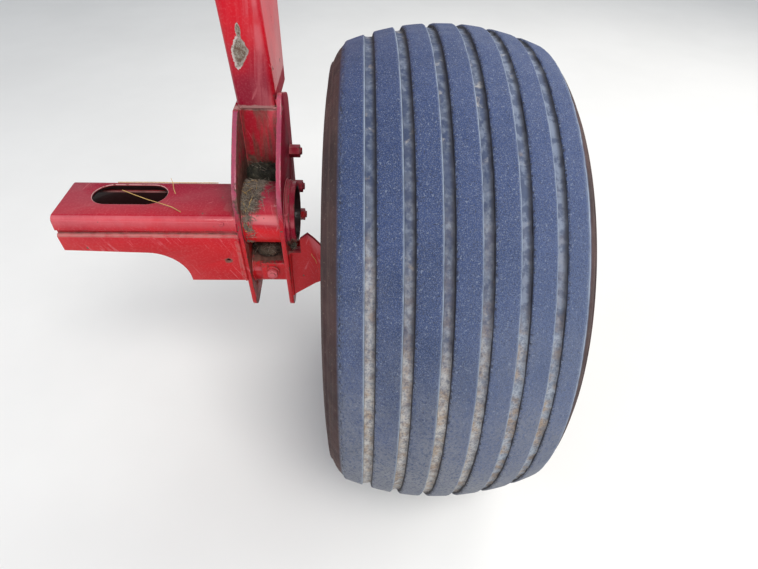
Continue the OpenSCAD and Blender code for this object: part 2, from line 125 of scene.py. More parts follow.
def pick(sockets: Iterable[Socket], key: Union[int, str]) -> Socket:
    """Finds a node's socket.

    Args:
        sockets: The node's inputs or outputs.
        key: Its name or its index.

    Returns:
        The first socket of that name that is in use, or the one at that index.
    """
    if isinstance(key, int):
        return sockets[key]
    return next(s for s in sockets if s.name == key and s.enabled)


class NodeTree:
    """A node tree, with short calls that add and join its nodes."""

    def __init__(self, tree: bpy.types.NodeTree) -> None:
        """Wraps a tree, which is filled by the calls below."""
        self.tree = tree

    def add(self, kind: str, inputs: Optional[dict] = None, **settings: object) -> bpy.types.Node:
        """Adds a node.

        Args:
            kind: The node's type name.
            inputs: Input name or index to a value, or to a socket that feeds it.
            **settings: Properties of the node itself.

        Returns:
            The new node.
        """
        node = self.tree.nodes.new(kind)
        for key, value in settings.items():
            setattr(node, key, value)
        for key, value in (inputs or {}).items():
            socket = pick(node.inputs, key)
            if isinstance(value, Socket):
                self.tree.links.new(value, socket)
            else:
                socket.default_value = value
        return node

    def maths(self, kind: str, a: Value, b: Value = 0.0) -> Socket:
        """The result of a named operation on one or two values."""
        return self.add("ShaderNodeMath", {0: a, 1: b}, operation=kind).outputs[0]

    def times(self, *values: Value) -> Socket:
        """The product of the values."""
        return reduce(partial(self.maths, "MULTIPLY"), values)

    def plus(self, *values: Value) -> Socket:
        """The sum of the values."""
        return reduce(partial(self.maths, "ADD"), values)

    def most(self, *values: Value) -> Socket:
        """The greatest of the values."""
        return reduce(partial(self.maths, "MAXIMUM"), values)

    def least(self, *values: Value) -> Socket:
        """The least of the values."""
        return reduce(partial(self.maths, "MINIMUM"), values)

    def minus(self, a: Value, b: Value) -> Socket:
        """The first value less the second."""
        return self.maths("SUBTRACT", a, b)

    def unsigned(self, value: Value) -> Socket:
        """The value without its sign."""
        return self.maths("ABSOLUTE", value)

    def length(self, *parts: Value) -> Socket:
        """The length of a vector with these parts."""
        return self.maths("SQRT", self.plus(*(self.times(part, part) for part in parts)))

    def vector(self, x: Value = 0.0, y: Value = 0.0, z: Value = 0.0) -> Socket:
        """A vector of three values."""
        return self.add("ShaderNodeCombineXYZ", {X: x, Y: y, Z: z}).outputs[0]

    def parts(self, vector: Socket) -> Sequence[Socket]:
        """The three parts of a vector."""
        return self.add("ShaderNodeSeparateXYZ", {0: vector}).outputs

    def vectors(self, kind: str, a: Socket, b: Union[Socket, Triple] = (0.0, 0.0, 0.0)) -> Socket:
        """The vector that a named operation makes of one or two vectors."""
        return self.add("ShaderNodeVectorMath", {0: a, 1: b}, operation=kind).outputs[0]

    def step(self, value: Value, low: Value, high: Value, to_low: float = 0.0,
             to_high: float = 1.0) -> Socket:
        """A value mapped smoothly and clamped, low to to_low and high to to_high."""
        inputs = {0: value, 1: low, 2: high, 3: to_low, 4: to_high}
        return self.add("ShaderNodeMapRange", inputs, interpolation_type="SMOOTHSTEP").outputs[0]

    def noise(self, at: Socket, scale: float, detail: float = 3.0, rough: float = 0.55) -> Socket:
        """A noise pattern of about 0.5; scale is features a metre, detail finer octaves."""
        inputs = {"Vector": at, "Scale": scale, "Detail": detail, "Roughness": rough}
        return self.add("ShaderNodeTexNoise", inputs).outputs[0]

    def swing(self, pattern: Socket, width: Value = 1.0) -> Socket:
        """A noise pattern turned into a value about zero, of a given width."""
        return self.times(self.minus(pattern, 0.5), width)


class Surface(NodeTree):
    """A material's tree."""

    def __init__(self, name: str) -> None:
        """Starts an empty material.

        Args:
            name: The material's name.
        """
        self.material = bpy.data.materials.new(name)
        self.material.use_nodes = True
        self.material.node_tree.nodes.clear()
        super().__init__(self.material.node_tree)
        self.place = self.add("ShaderNodeTexCoord").outputs["Object"]
        self.axes = self.parts(self.place)

    def past(self, axis: int, place: float) -> Socket:
        """How many metres a point lies past a place, given in millimetres, on an axis."""
        return self.minus(self.axes[axis], place * MM)

    def share(self, length: Value, size: float) -> Socket:
        """A length in metres as a share of a size in millimetres."""
        return self.times(length, 1 / (size * MM))

    def ramp(self, axis: int, low: float, high: float, to_low: float = 0.0,
             to_high: float = 1.0) -> Socket:
        """A smooth step along an axis, with low and high in millimetres."""
        return self.step(self.axes[axis], low * MM, high * MM, to_low, to_high)

    def between(self, axis: int, low: float, high: float, soft: float = 0.5) -> Socket:
        """1 between two places on an axis and 0 outside, in millimetres."""
        return self.times(self.ramp(axis, low - soft, low), self.ramp(axis, high + soft, high))

    def near(self, spot: Spot) -> Socket:
        """A ragged patch.

        Args:
            spot: Its place, its size and its border.

        Returns:
            0 outside the patch and 1 inside.
        """
        reach = self.length(*(self.share(self.past(axis, spot.centre[axis]), spot.half[axis])
                              for axis in (X, Y, Z)))
        border = self.swing(self.grain(spot.scale, 4, 0.6), 2 * spot.ragged)
        return self.step(self.plus(reach, border), 1.0 + spot.soft, 1.0)

    def grain(self, scale: float, detail: float = 3.0, rough: float = 0.55) -> Socket:
        """A noise pattern on the piece's own place."""
        return self.noise(self.place, scale, detail, rough)

    def patches(self, scale: float, low: float, high: float, detail: float = 4.0) -> Socket:
        """Noise patches: 0 below the noise value low and 1 above high."""
        return self.step(self.grain(scale, detail, 0.62), low, high)

    def streaks(self, stretch: Triple, turn: Triple, low: float, high: float) -> Socket:
        """Fine lines along one direction.

        Args:
            stretch: Features per metre along each turned axis.
            turn: Turn about each axis, in degrees.
            low: Noise value where a line begins.
            high: Noise value where it is full.

        Returns:
            0 outside the lines and 1 on them.
        """
        inputs = {"Vector": self.place, "Rotation": tuple(math.radians(a) for a in turn)}
        turned = self.add("ShaderNodeVectorRotate", inputs, rotation_type="EULER_XYZ").outputs[0]
        return self.step(self.noise(self.vectors("MULTIPLY", turned, stretch), 1.0, 2.0), low, high)

    def facing(self, axis: int, low: float, high: float) -> Socket:
        """0 where the normal's part along an axis is low, and 1 where it is high."""
        normal = self.add("ShaderNodeNewGeometry").outputs["Normal"]
        return self.step(self.parts(normal)[axis], low, high)

    def crevice(self, reach: float, low: float = 0.8, high: float = 0.35) -> Socket:
        """How closed in the surface is within a reach in metres, from 0 to 1."""
        node = self.add("ShaderNodeAmbientOcclusion", {"Distance": reach}, samples=6)
        return self.step(node.outputs["AO"], low, high)

    def carried(self, name: str) -> Socket:
        """A number that the mesh carries."""
        return self.add("ShaderNodeAttribute", attribute_name=name).outputs["Fac"]

    def mix(self, amount: Value, a: Tint, b: Tint) -> Socket:
        """Mixes two colours.

        Args:
            amount: Share of b.
            a: Colour or socket at 0.
            b: Colour or socket at 1.

        Returns:
            The mixed colour.
        """
        node = self.add("ShaderNodeMix", data_type="RGBA")
        for index, value in ((0, amount), (6, a), (7, b)):
            if isinstance(value, Socket):
                self.tree.links.new(value, node.inputs[index])
            else:
                node.inputs[index].default_value = value if index == 0 else (*value, 1.0)
        return node.outputs[2]

    def layered(self, base: Tint, *layers: tuple[Value, Tint]) -> Socket:
        """Lays colours over each other.

        Args:
            base: The lowest colour.
            *layers: Share and colour of each layer, from the lowest up.

        Returns:
            The colour that shows.
        """
        for amount, tint in layers:
            base = self.mix(amount, base, tint)
        return base

    def bump(self, height: Socket, depth: float, under: Optional[Socket] = None) -> Socket:
        """Adds a bump.

        Args:
            height: Height pattern from 0 to 1.
            depth: Depth of the pattern in metres.
            under: Normal of a bump below this one.

        Returns:
            The bumped normal.
        """
        inputs = {"Height": height, "Distance": depth, "Strength": 1.0}
        if under is not None:
            inputs["Normal"] = under
        return self.add("ShaderNodeBump", inputs).outputs[0]

    def done(self, colour: Socket, rough: Socket, normal: Socket, metal: Optional[Socket] = None,
             **plain: Value) -> Material:
        """Joins everything to a principled shader.

        Args:
            colour: Base colour.
            rough: Roughness.
            normal: Bumped normal.
            metal: Metallic share, or None for none.
            **plain: Values of further inputs, with spaces as underscores.

        Returns:
            The finished material.
        """
        inputs = {"Base Color": colour, "Roughness": rough, "Normal": normal}
        if metal is not None:
            inputs["Metallic"] = metal
        inputs.update({key.replace("_", " "): value for key, value in plain.items()})
        shader = self.add("ShaderNodeBsdfPrincipled", inputs)
        self.add("ShaderNodeOutputMaterial", {"Surface": shader.outputs[0]})
        return self.material


@dataclass(frozen=True)
class BarePatch:
    """The pointed patch of bare steel on the leg's rear face, with a neck, in millimetres."""

    centre: Triple = (-50.0, 306.2, 221.5)
    half_w: float = 12.2
    rise: float = 24.0
    drop: float = 28.0
    lean: float = 0.22
    bulge: float = 1.3
    neck: tuple[float, float] = (307.0, 248.5)
    neck_half: tuple[float, float] = (3.6, 10.5)
    depth: float = 10.0
    ragged: float = 0.85

    def reach(self, g: Surface) -> Socket:
        """The patch as a ragged distance from its middle.

        Args:
            g: The material's tree.

        Returns:
            Below 1 inside the patch.
        """
        up = g.past(Z, self.centre[Z])
        lean = g.times(g.least(up, 0.0), self.lean)
        off_y = g.share(g.unsigned(g.minus(g.past(Y, self.centre[Y]), lean)), self.half_w)
        off_z = g.most(g.share(up, self.rise), g.share(up, -self.drop))
        body = g.plus(*(g.maths("POWER", off, self.bulge) for off in (off_y, off_z)))
        neck_y = g.share(g.past(Y, self.neck[0]), self.neck_half[0])
        neck_z = g.share(g.past(Z, self.neck[1]), self.neck_half[1])
        neck = g.plus(g.times(neck_y, neck_y), g.times(neck_z, neck_z))
        off_x = g.share(g.unsigned(g.past(X, self.centre[X])), self.depth)
        return g.plus(g.least(body, neck), off_x, g.swing(g.grain(190, 4, 0.65), self.ragged))


@dataclass(frozen=True)
class RedPaint:
    """Sprayed red paint: deeper on top in painted shade, with painted highlights and reflections,
    scratched, chipped at its edges and dusty.
    """

    red: Colour = (0.58, 0.006, 0.017)
    shade: Colour = (0.44, 0.004, 0.018)
    warm_bounce: Colour = (0.56, 0.007, 0.010)
    # deep crimson for up-facing faces: painted shade
    top: Colour = (0.27, 0.002, 0.022)
    far_top_shade: Colour = (0.135, 0.001, 0.020)
    scratch: Colour = (0.66, 0.15, 0.17)
    steel: Colour = (0.135, 0.085, 0.062)
    bare: Colour = (0.29, 0.26, 0.215)
    flake_and_glint: Colour = (0.55, 0.47, 0.44)
    dust: Colour = (0.46, 0.30, 0.27)
    # dirt colour, also used as painted shade on the inner plate's outboard face
    dirt: Colour = (0.075, 0.050, 0.036)
    # near-black painted shade for the insides of the beam, the tube and the slot
    inside: Colour = (0.012, 0.009, 0.009)
    # deep crimson: the leg's darker foot, and painted shade on outboard faces
    crimson: Colour = (0.235, 0.002, 0.024)
    dull: Colour = (0.20, 0.030, 0.055)
    pale_wear_and_sheen: Colour = (0.66, 0.18, 0.205)
    splash: Colour = (0.21, 0.15, 0.105)
    sky_plum: Colour = (0.27, 0.075, 0.140)
    bright: Colour = (0.78, 0.002, 0.006)
    shine: Colour = (0.86, 0.29, 0.29)
    bare_patch: BarePatch = BarePatch()
    seam_dust: Spot = Spot((-52, 322, 135.5), (7, 36, 4.2), 0.5, 0.6, 160)
    foot_grime: Spot = Spot((-58, 312, 60), (14, 34, 92), 0.4, 0.5)
    tube_grime: Spot = Spot((-8, 300, 24), (60, 22, 36))
    spindle_grime: Spot = Spot((-24, 321, -100), (52, 34, 22))
    collar_grime: Spot = Spot((30, 366, -60), (30, 12, 16))
    slot_edge: Spot = Spot((-13, 103, 3), (36, 68, 7), 0.2, 0.1)
    lock_bolt: Spot = Spot((50, 329, -118), (9, 11, 11), 0.1, 0.2)
    web_hole: Spot = Spot((48, 259.5, -86), (12, 5.5, 4.5), 0.5, 0.9, 330)
    smear: Spot = Spot((22, 270, 3), (11, 6, 30), 0.5)

    def sprayed(self, g: Surface, up: Socket, far: Socket, outward: Socket) -> Socket:
        """The clean paint, deeper or brighter by place and by the side that it faces, as painted
        shade and painted light.

        Args:
            g: The material's tree.
            up: Share of faces that look up.
            far: Share of the outer plate's outboard side.
            outward: Share of other faces that look outboard.

        Returns:
            The colour.
        """
        leg_side = g.times(g.ramp(Y, 348, 338), g.ramp(Z, 134, 137))
        leg_low = g.step(g.plus(g.axes[Z], g.swing(g.grain(22), 0.08)), 0.255, 0.165)
        shaded = g.times(g.ramp(Y, AT.inner_face - 0.4, AT.inner_face + 0.2), g.ramp(Z, -52, -15),
                         g.ramp(Z, 134.5, 133.5), g.ramp(Y, AT.gap_out + 0.5, AT.gap_out - 1.0),
                         g.most(g.facing(X, 0.85, 0.55), 0.62))
        slope = g.times(g.facing(Z, 0.10, 0.24), g.facing(Z, 0.50, 0.28))
        flange = g.times(g.between(X, 48, 60), g.between(Y, 0, AT.inner_face - 0.6),
                         g.ramp(Z, -22.5, -6), g.step(g.grain(30), 0.3, 0.7, 0.6, 1.0))
        plates = g.most(g.times(g.between(Y, AT.inner_face - 0.1, AT.gap_in + 0.1),
                                g.ramp(Z, 135.5, 134.5)),
                        g.between(Y, AT.gap_out + 0.4, AT.outer_face - 0.6))
        rims = g.times(plates, g.facing(X, 0.25, 0.5), g.ramp(Z, -12, 30))
        tube = g.times(g.between(Y, AT.gap_in + 1.0, AT.gap_out - 0.8), g.between(Z, -73, 0, 5))
        lit = g.times(g.facing(Z, 0.12, 0.40), g.facing(Z, 0.68, 0.44))
        return g.layered(
            self.shade,
            (g.patches(7, 0.36, 0.62), self.red),
            # redder towards the bottom: painted warm bounce light
            (g.ramp(Z, -20, -60, 0.0, 0.7), self.warm_bounce),
            # up-facing faces deeper crimson: painted shade
            (g.times(up, g.ramp(X, 48, -5, 0.55, 0.92)), self.top),
            # up-facing faces deeper still towards the front: painted shade
            (g.times(up, g.ramp(X, -5, -50, 0.0, 0.45)), self.far_top_shade),
            (g.times(leg_low, leg_side, 0.85), self.crimson),
            (g.times(shaded, 0.50), self.dull),
            # the outer plate's outboard side darker: painted shade
            (g.times(far, 0.8), self.crimson),
            # slopes and the flange's upper edge paler pink: painted highlight
            (g.times(g.most(slope, g.times(flange, 0.9)), 0.55), self.pale_wear_and_sheen),
            # outboard-facing faces darker: painted shade
            (g.times(outward, 0.75), self.crimson),
            # the plates' rear edges purple towards the top: painted sky reflection
            (g.times(rims, 0.6), self.sky_plum),
            # the tube's lower side bright red: painted bounce light
            (g.times(tube, g.facing(Z, 0.24, -0.10), 0.7), self.bright),
            # a pale band along the tube: painted highlight
            (g.times(tube, lit, 0.5), self.shine))

    def scratches(self, g: Surface) -> Socket:
        """Fine pale lines: long ones down the leg and slanted ones on the rest.

        Args:
            g: The material's tree.

        Returns:
            The share of the scratches' colour.
        """
        fine = g.most(g.streaks((9, 300, 9), (0, 62, 24), 0.66, 0.72),
                      g.streaks((60, 260, 8), (33, 8, 61), 0.66, 0.72))
        fine = g.times(fine, g.patches(16, 0.45, 0.6), 0.45)
        web = g.times(g.between(X, 38, 55), g.between(Z, -134, -36))
        slanted = g.times(g.streaks((30, 240, 9), (-26, 0, 0), 0.57, 0.67),
                          g.patches(14, 0.42, 0.56))
        leg = g.times(g.between(Z, 137, 500), g.between(X, -200, -45), g.facing(Y, 0.85, 0.45))
        lines = g.times(g.streaks((90, 170, 6), (4, 0, 0), 0.50, 0.70),
                        g.ramp(Y, 300, 338, 0.08, 0.8))
        rubbed = g.times(g.ramp(Y, 310, 337), g.streaks((90, 120, 8), (4, 0, 0), 0.30, 0.60),
                         g.step(g.grain(18), 0.40, 0.60, 0.35, 1.0))
        return g.most(fine, g.times(slanted, web, 0.6), g.times(g.most(lines, rubbed), leg, 0.55))

    def dusty_lines(self, g: Surface) -> Socket:
        """Dust on the webs' upper ledges, the foot's seam and the webs' welds to the bracket.

        Args:
            g: The material's tree.

        Returns:
            0 to 1.
        """
        across = g.unsigned(g.axes[X])
        ledge = g.times(g.between(Z, AT.seam_z - 1.5, AT.seam_z + 4.0, 1.0),
                        g.step(across, 0.0470, 0.0485),
                        g.ramp(Y, AT.inner_face - 0.5, AT.inner_face - 1.5),
                        g.step(g.grain(60), 0.3, 0.55, 0.25, 0.55))
        weld = g.times(g.between(Y, AT.inner_face - 7.0, AT.inner_face - 0.4, 1.5),
                       g.between(Z, -132, -36), g.step(across, 0.040, 0.042),
                       g.patches(90, 0.38, 0.55))
        return g.most(ledge, g.times(g.near(self.seam_dust), 0.8), g.times(weld, 0.3))

    def grime(self, g: Surface) -> Socket:
        """Dirt between the bracket plates and in the tube's end, and painted shade on the inner
        plate's outboard face.

        Args:
            g: The material's tree.

        Returns:
            0 to 1.
        """
        foot = g.times(g.near(self.foot_grime), g.streaks((50, 110, 14), (0, 0, 0), 0.36, 0.62),
                       g.ramp(Z, 134.5, 133.5, 0.0, 0.75))
        # the inner plate's outboard face darkened between the plates: painted shade in the dirt
        # colour
        face = g.times(g.between(Y, AT.gap_in - 0.4, AT.gap_in + 0.4), g.ramp(Z, 133.5, 132.5),
                       g.patches(34, 0.26, 0.56), 0.8)
        collar = g.times(g.between(Y, AT.outer_face + 0.5, 376), g.near(self.collar_grime))
        return g.most(g.near(self.tube_grime), g.near(self.spindle_grime), foot, face, collar)

    def inside_beam(self, g: Surface) -> Socket:
        """The beam's inner faces: in the channel, behind the laps and between the leaning webs.

        Args:
            g: The material's tree.

        Returns:
            0 outside and 1 inside.
        """
        under_laps = g.ramp(Z, AT.lap_foot, AT.lap_foot - 0.2)
        leaning = g.minus(AT.web_half * MM,
                          g.times(g.minus(AT.seam_z * MM, g.axes[Z]), AT.web_lean))
        half = g.most(g.ramp(Z, AT.lap_foot, AT.lap_foot - 0.2, AT.lap_half * MM, 0.0),
                      g.ramp(Z, AT.lap_top - 0.4, AT.lap_top, 0.0, AT.channel_half * MM),
                      g.times(leaning, under_laps))
        along = g.least(g.most(g.past(Y, AT.notch[0]), 0.0), AT.notch_r * MM)
        squares = g.minus((AT.notch_r * MM) ** 2, g.times(along, along))
        belly = g.plus(g.maths("SQRT", squares), AT.notch[1] * MM)
        return g.times(g.step(g.minus(g.unsigned(g.axes[X]), half), 0.0007, 0.0002),
                       g.ramp(Y, AT.inner_face - 0.2, AT.inner_face - 0.6),
                       g.ramp(Z, -2.2, -2.6),
                       g.step(g.minus(g.axes[Z], belly), -0.0014, -0.0008))

    def painted_inner_shade(self, g: Surface) -> Socket:
        """Painted shade inside the beam, the tube and the slot: near-black where shade falls.

        Args:
            g: The material's tree.

        Returns:
            0 outside and 1 inside.
        """
        bore = g.step(g.length(g.axes[X], g.past(Z, AT.tube_z)), 0.0436, 0.0430)
        tube = g.times(bore, g.between(Y, AT.gap_in + 1.0, 375.2), g.ramp(Z, -90, -85))
        cut_y = g.minus(g.unsigned(g.past(Y, AT.slot[1])), AT.slot_straight * MM)
        cut = g.length(g.past(X, AT.slot[0]), g.most(cut_y, 0.0))
        slot = g.times(g.step(cut, 0.0298, 0.0294), g.between(Z, -3.1, 1.0))
        return g.most(self.inside_beam(g), tube, slot)

    def build(self) -> Material:
        """Makes the material.

        Returns:
            The red paint.
        """
        g = Surface("red_paint")
        worn, crevice, up = g.carried("worn_edge"), g.crevice(0.014), g.facing(Z, 0.55, 0.95)
        far = g.times(g.ramp(Y, AT.outer_face - 1.2, AT.outer_face - 0.2), g.ramp(Z, -52, -40))
        outward = g.times(g.facing(Y, 0.5, 0.9), g.between(Z, -46, 156, 4))
        reach = self.bare_patch.reach(g)
        patch = g.step(reach, 1.02, 0.97)
        bare = g.most(g.times(worn, g.patches(95, 0.53, 0.60)), g.patches(62, 0.715, 0.745, 2),
                      patch)
        border = g.times(g.step(reach, 0.62, 0.86), g.ramp(Y, 309.0, 304.5, 0.35, 1.0),
                         g.patches(95, 0.30, 0.44, 2))
        mottled = g.layered(self.bare, (g.patches(330, 0.40, 0.6), self.steel),
                            (border, self.flake_and_glint))
        film = g.most(g.times(up, g.patches(24, 0.50, 0.74)),
                      g.times(g.patches(19, 0.58, 0.76), 0.35), g.times(g.near(self.smear), 1.6))
        ledges = g.times(crevice, g.facing(Z, 0.2, 0.7), 0.65)
        dust = g.most(g.times(film, 0.11), ledges, self.dusty_lines(g))
        dirt = g.most(g.times(crevice, g.patches(75, 0.40, 0.66), 0.5),
                      g.times(self.grime(g), 0.9))
        away = g.times(g.most(g.facing(X, -0.25, -0.8), g.facing(Z, -0.35, -0.85)),
                       g.ramp(Z, 220, -50, 0.25, 1.0))
        spatter = g.times(away, g.most(g.times(g.patches(26, 0.46, 0.70), 0.55),
                                       g.patches(150, 0.60, 0.68, 3)))
        colour = g.layered(
            self.sprayed(g, up, far, outward),
            (g.times(g.patches(320, 0.5, 0.66, 2), 0.14), self.scratch),
            (self.scratches(g), self.pale_wear_and_sheen),
            (g.times(worn, g.patches(38, 0.42, 0.62), 0.35), self.scratch),
            # the slot's rounded edges pale: painted reflection
            (g.times(worn, g.near(self.slot_edge), 0.6), self.flake_and_glint),
            # the lock bolt paler pink
            (g.times(g.near(self.lock_bolt), 0.75), self.scratch),
            (g.times(g.near(self.web_hole), 0.75), self.steel),
            (bare, g.mix(patch, self.steel, mottled)),
            (g.times(dust, 0.8), self.dust),
            # crevice dirt, with the painted shade on the inner plate's outboard face
            (dirt, g.mix(g.patches(170, 0.4, 0.62), self.dirt, self.steel)),
            (g.times(spatter, 0.62), self.splash),
            # near-black inside the beam, the tube and the slot: painted shade
            (g.times(self.painted_inner_shade(g), 0.97), self.inside))
        dulled = g.most(dust, bare, dirt, spatter, g.times(outward, 0.5))
        height = g.minus(g.times(g.grain(420), 0.35), bare)
        normal = g.bump(height, 0.00022, g.bump(g.grain(24), 0.0011))
        coat = g.step(g.most(far, outward, g.times(up, 0.75)), 0.0, 1.0, 0.20, 0.02)
        return g.done(colour, g.step(dulled, 0.0, 0.7, 0.38, 0.86), normal,
                      Specular_IOR_Level=0.14, Coat_Weight=coat, Coat_Roughness=0.12)


@dataclass(frozen=True)
class TyreRubber:
    """Worn implement tyre: slate ribs with fine pale grain, dusty grooves and brown sidewalls, with
    painted light and shade on the tread.

    Dust rings are given as radius, half width and share, in millimetres.
    """

    slate: Colour = (0.043, 0.065, 0.154)
    deep: Colour = (0.027, 0.043, 0.104)
    # paler slate for the outboard side: painted light
    pale: Colour = (0.110, 0.146, 0.258)
    upper_shade: Colour = (0.020, 0.038, 0.120)
    speck: Colour = (0.22, 0.255, 0.33)
    pit: Colour = (0.030, 0.030, 0.036)
    rim_light: Colour = (0.36, 0.42, 0.50)
    floor: Colour = (0.092, 0.112, 0.165)
    pale_floor: Colour = (0.185, 0.220, 0.300)
    chalk: Colour = (0.52, 0.50, 0.475)
    pale_chalk: Colour = (0.40, 0.44, 0.50)
    mud: Colour = (0.37, 0.29, 0.225)
    # dark wall colour: painted shade on the grooves' walls and floors
    wall: Colour = (0.024, 0.023, 0.029)
    # dust colour, also laid as painted light low on the tread
    dusty: Colour = (0.225, 0.232, 0.250)
    side: Colour = (0.066, 0.036, 0.035)
    side_dark: Colour = (0.034, 0.021, 0.022)
    side_dust: Colour = (0.110, 0.070, 0.061)
    dust_rings: tuple[Triple, ...] = ((221.0, 3.0, 0.75), (240.0, 4.5, 0.35), (322.0, 2.6, 0.6),
                                      (345.0, 2.6, 0.6))

    def ribs(self, g: Surface, uneven: Socket, edge: Socket, across: Socket) -> Socket:
        """The worn outer face of the ribs, with painted light and shade.

        Args:
            g: The material's tree.
            uneven: Height over the wheel's axis, moved by noise.
            edge: Nearness to a rib's edge.
            across: Side of the rib, from -1 inboard to 1 outboard.

        Returns:
            The colour.
        """
        height = g.minus(g.axes[Z], WHEEL_CENTRE.z)
        outer = g.times(edge, g.step(across, 0.2, 0.8))
        inner = g.times(edge, g.step(across, -0.2, -0.8))
        return g.layered(
            self.deep,
            (g.patches(12, 0.3, 0.7, 2), self.slate),
            # paler towards the outboard side: painted light
            (g.ramp(Y, 480, 730, 0.0, 0.50), self.pale),
            # darker towards the tyre's top: painted shade
            (g.step(height, 0.14, 0.34, 0.0, 0.60), self.upper_shade),
            (g.times(g.patches(900, 0.47, 0.64, 2), 0.40), self.speck),
            (g.times(g.patches(640, 0.53, 0.66, 2), 0.62), self.pit),
            (g.times(g.patches(330, 0.66, 0.71, 1), 0.5), self.speck),
            # dust towards the bottom, laid stronger there as painted light
            (g.times(g.step(uneven, 0.24, -0.24), g.patches(260, 0.28, 0.56)), self.dusty),
            (g.times(outer, g.step(g.grain(45), 0.25, 0.6, 0.30, 0.78)), self.rim_light),
            (g.times(inner, g.patches(300, 0.50, 0.60, 3)), self.pit),
            (g.times(inner, g.patches(260, 0.56, 0.66, 3), 0.7), self.speck))

    def grooves(self, g: Surface, low: Socket, groove: Socket,
                across: Socket) -> tuple[Socket, Socket]:
        """The grooves' walls and floor, with blue dust above and chalky mud below, and painted
        light and shade.

        Args:
            g: The material's tree.
            low: Share of the tread's lower part.
            groove: Depth in the groove, from 0 to 1.
            across: Side of the groove, from -1 inboard to 1 outboard.

        Returns:
            The walls' colour and the floor's.
        """
        # floors paler and bluer towards the tyre's outboard side: painted light
        outboard = g.ramp(Y, 600, 665)
        chalky = g.layered(
            self.mud,
            (g.patches(60, 0.34, 0.60), g.mix(outboard, self.chalk, self.pale_chalk)),
            (g.times(g.patches(150, 0.46, 0.62, 5), 0.42), self.floor),
            (g.times(g.patches(420, 0.48, 0.62, 3), 0.40), self.deep))
        floor = g.layered(
            self.floor,
            (outboard, self.pale_floor),
            (g.times(g.patches(120, 0.42, 0.62, 5), 0.55), self.speck),
            (g.times(g.patches(75, 0.42, 0.56), 0.65), self.deep),
            (g.most(low, g.times(g.patches(40, 0.58, 0.70), 0.7)), chalky))
        # outboard-facing walls lit, the others in the dark wall colour: painted light and shade
        lit = g.step(g.times(across, g.minus(0.53, groove)), -0.02, 0.05)
        bright = g.mix(g.step(groove, 0.5, 0.2, 0.0, 0.4), floor, self.rim_light)
        shade = g.times(g.step(across, -0.2, 0.95), g.step(low, 0.0, 1.0, 0.85, 0.35))
        return g.mix(lit, self.wall, bright), g.mix(shade, floor, self.wall)

    def sidewalls(self, g: Surface) -> Socket:
        """The brown sidewalls, with fine rings and dust that lies on the moulded ones.

        Args:
            g: The material's tree.

        Returns:
            The colour.
        """
        spoke = g.vectors("SUBTRACT", g.place, (WHEEL_CENTRE.x, 0.0, WHEEL_CENTRE.z))
        spoke = g.vectors("MULTIPLY", spoke, (1.0, 0.0, 1.0))
        reach = g.add("ShaderNodeVectorMath", {0: spoke}, operation="LENGTH").outputs["Value"]
        way = g.parts(g.vectors("NORMALIZE", spoke))
        at = g.vector(g.times(way[X], 4.0), g.times(reach, 240.0), g.times(way[Z], 4.0))
        fine = g.times(g.step(g.noise(at, 1.0, 4.0, 0.6), 0.46, 0.70), 0.28)
        layers = [(g.patches(17, 0.30, 0.70), self.side), (fine, self.side_dust)]
        uneven = g.step(g.grain(40), 0.3, 0.6, 0.4, 1.0)
        for radius, half, amount in self.dust_rings:
            band = g.step(g.unsigned(g.minus(reach, radius * MM)), half * MM, 0.4 * half * MM)
            layers.append((g.times(band, uneven, amount), self.side_dust))
        layers.append((g.times(g.patches(300, 0.62, 0.72, 2), 0.2), self.mud))
        return g.layered(self.side_dark, *layers)

    def build(self) -> Material:
        """Makes the material.

        Returns:
            The tyre's rubber.
        """
        g = Surface("tyre_rubber")
        groove, edge, side, across = map(g.carried, ("groove", "edge", "side", "across"))
        uneven = g.plus(g.minus(g.axes[Z], WHEEL_CENTRE.z), g.swing(g.grain(14), 0.30))
        wall, floor = self.grooves(g, g.step(uneven, 0.32, 0.02), groove, across)
        colour = g.layered(self.ribs(g, uneven, edge, across),
                           (g.step(groove, 0.05, 0.35), wall),
                           (g.step(groove, 0.72, 0.96), floor), (side, self.sidewalls(g)))
        rough = g.step(g.grain(60), 0.3, 0.7, 0.66, 0.85)
        fine = g.bump(g.grain(900, 3, 0.7), 0.00045)
        normal = g.bump(g.grain(110, 4, 0.6), 0.0008, fine)
        return g.done(colour, rough, normal, Specular_IOR_Level=0.20)


@dataclass(frozen=True)
class DustyPaint:
    """Semi-gloss paint on a wheel part, with dust, chips and rust in its corners."""

    name: str
    paint: Colour
    shade: Colour
    rust: Colour = (0.125, 0.045, 0.020)
    dust: Colour = (0.30, 0.235, 0.17)
    gloss: float = 0.42

    def build(self) -> Material:
        """Makes the material.

        Returns:
            The dusty paint.
        """
        g = Surface(self.name)
        worn = g.carried("worn_edge")
        crevice = g.crevice(0.03)
        colour = g.mix(g.patches(13, 0.34, 0.66), self.shade, self.paint)
        rust = g.most(g.times(worn, g.patches(80, 0.44, 0.58)), g.patches(48, 0.69, 0.73, 3),
                      g.times(crevice, g.patches(95, 0.5, 0.64)))
        colour = g.mix(rust, colour, self.rust)
        dust = g.most(g.times(crevice, 0.8), g.patches(21, 0.46, 0.74))
        colour = g.mix(g.times(dust, 0.55), colour, self.dust)
        rough = g.step(g.most(rust, dust), 0.0, 0.8, self.gloss, 0.86)
        height = g.plus(g.times(g.grain(380), 0.4), g.times(rust, 0.6))
        return g.done(colour, rough, g.bump(height, 0.00028))


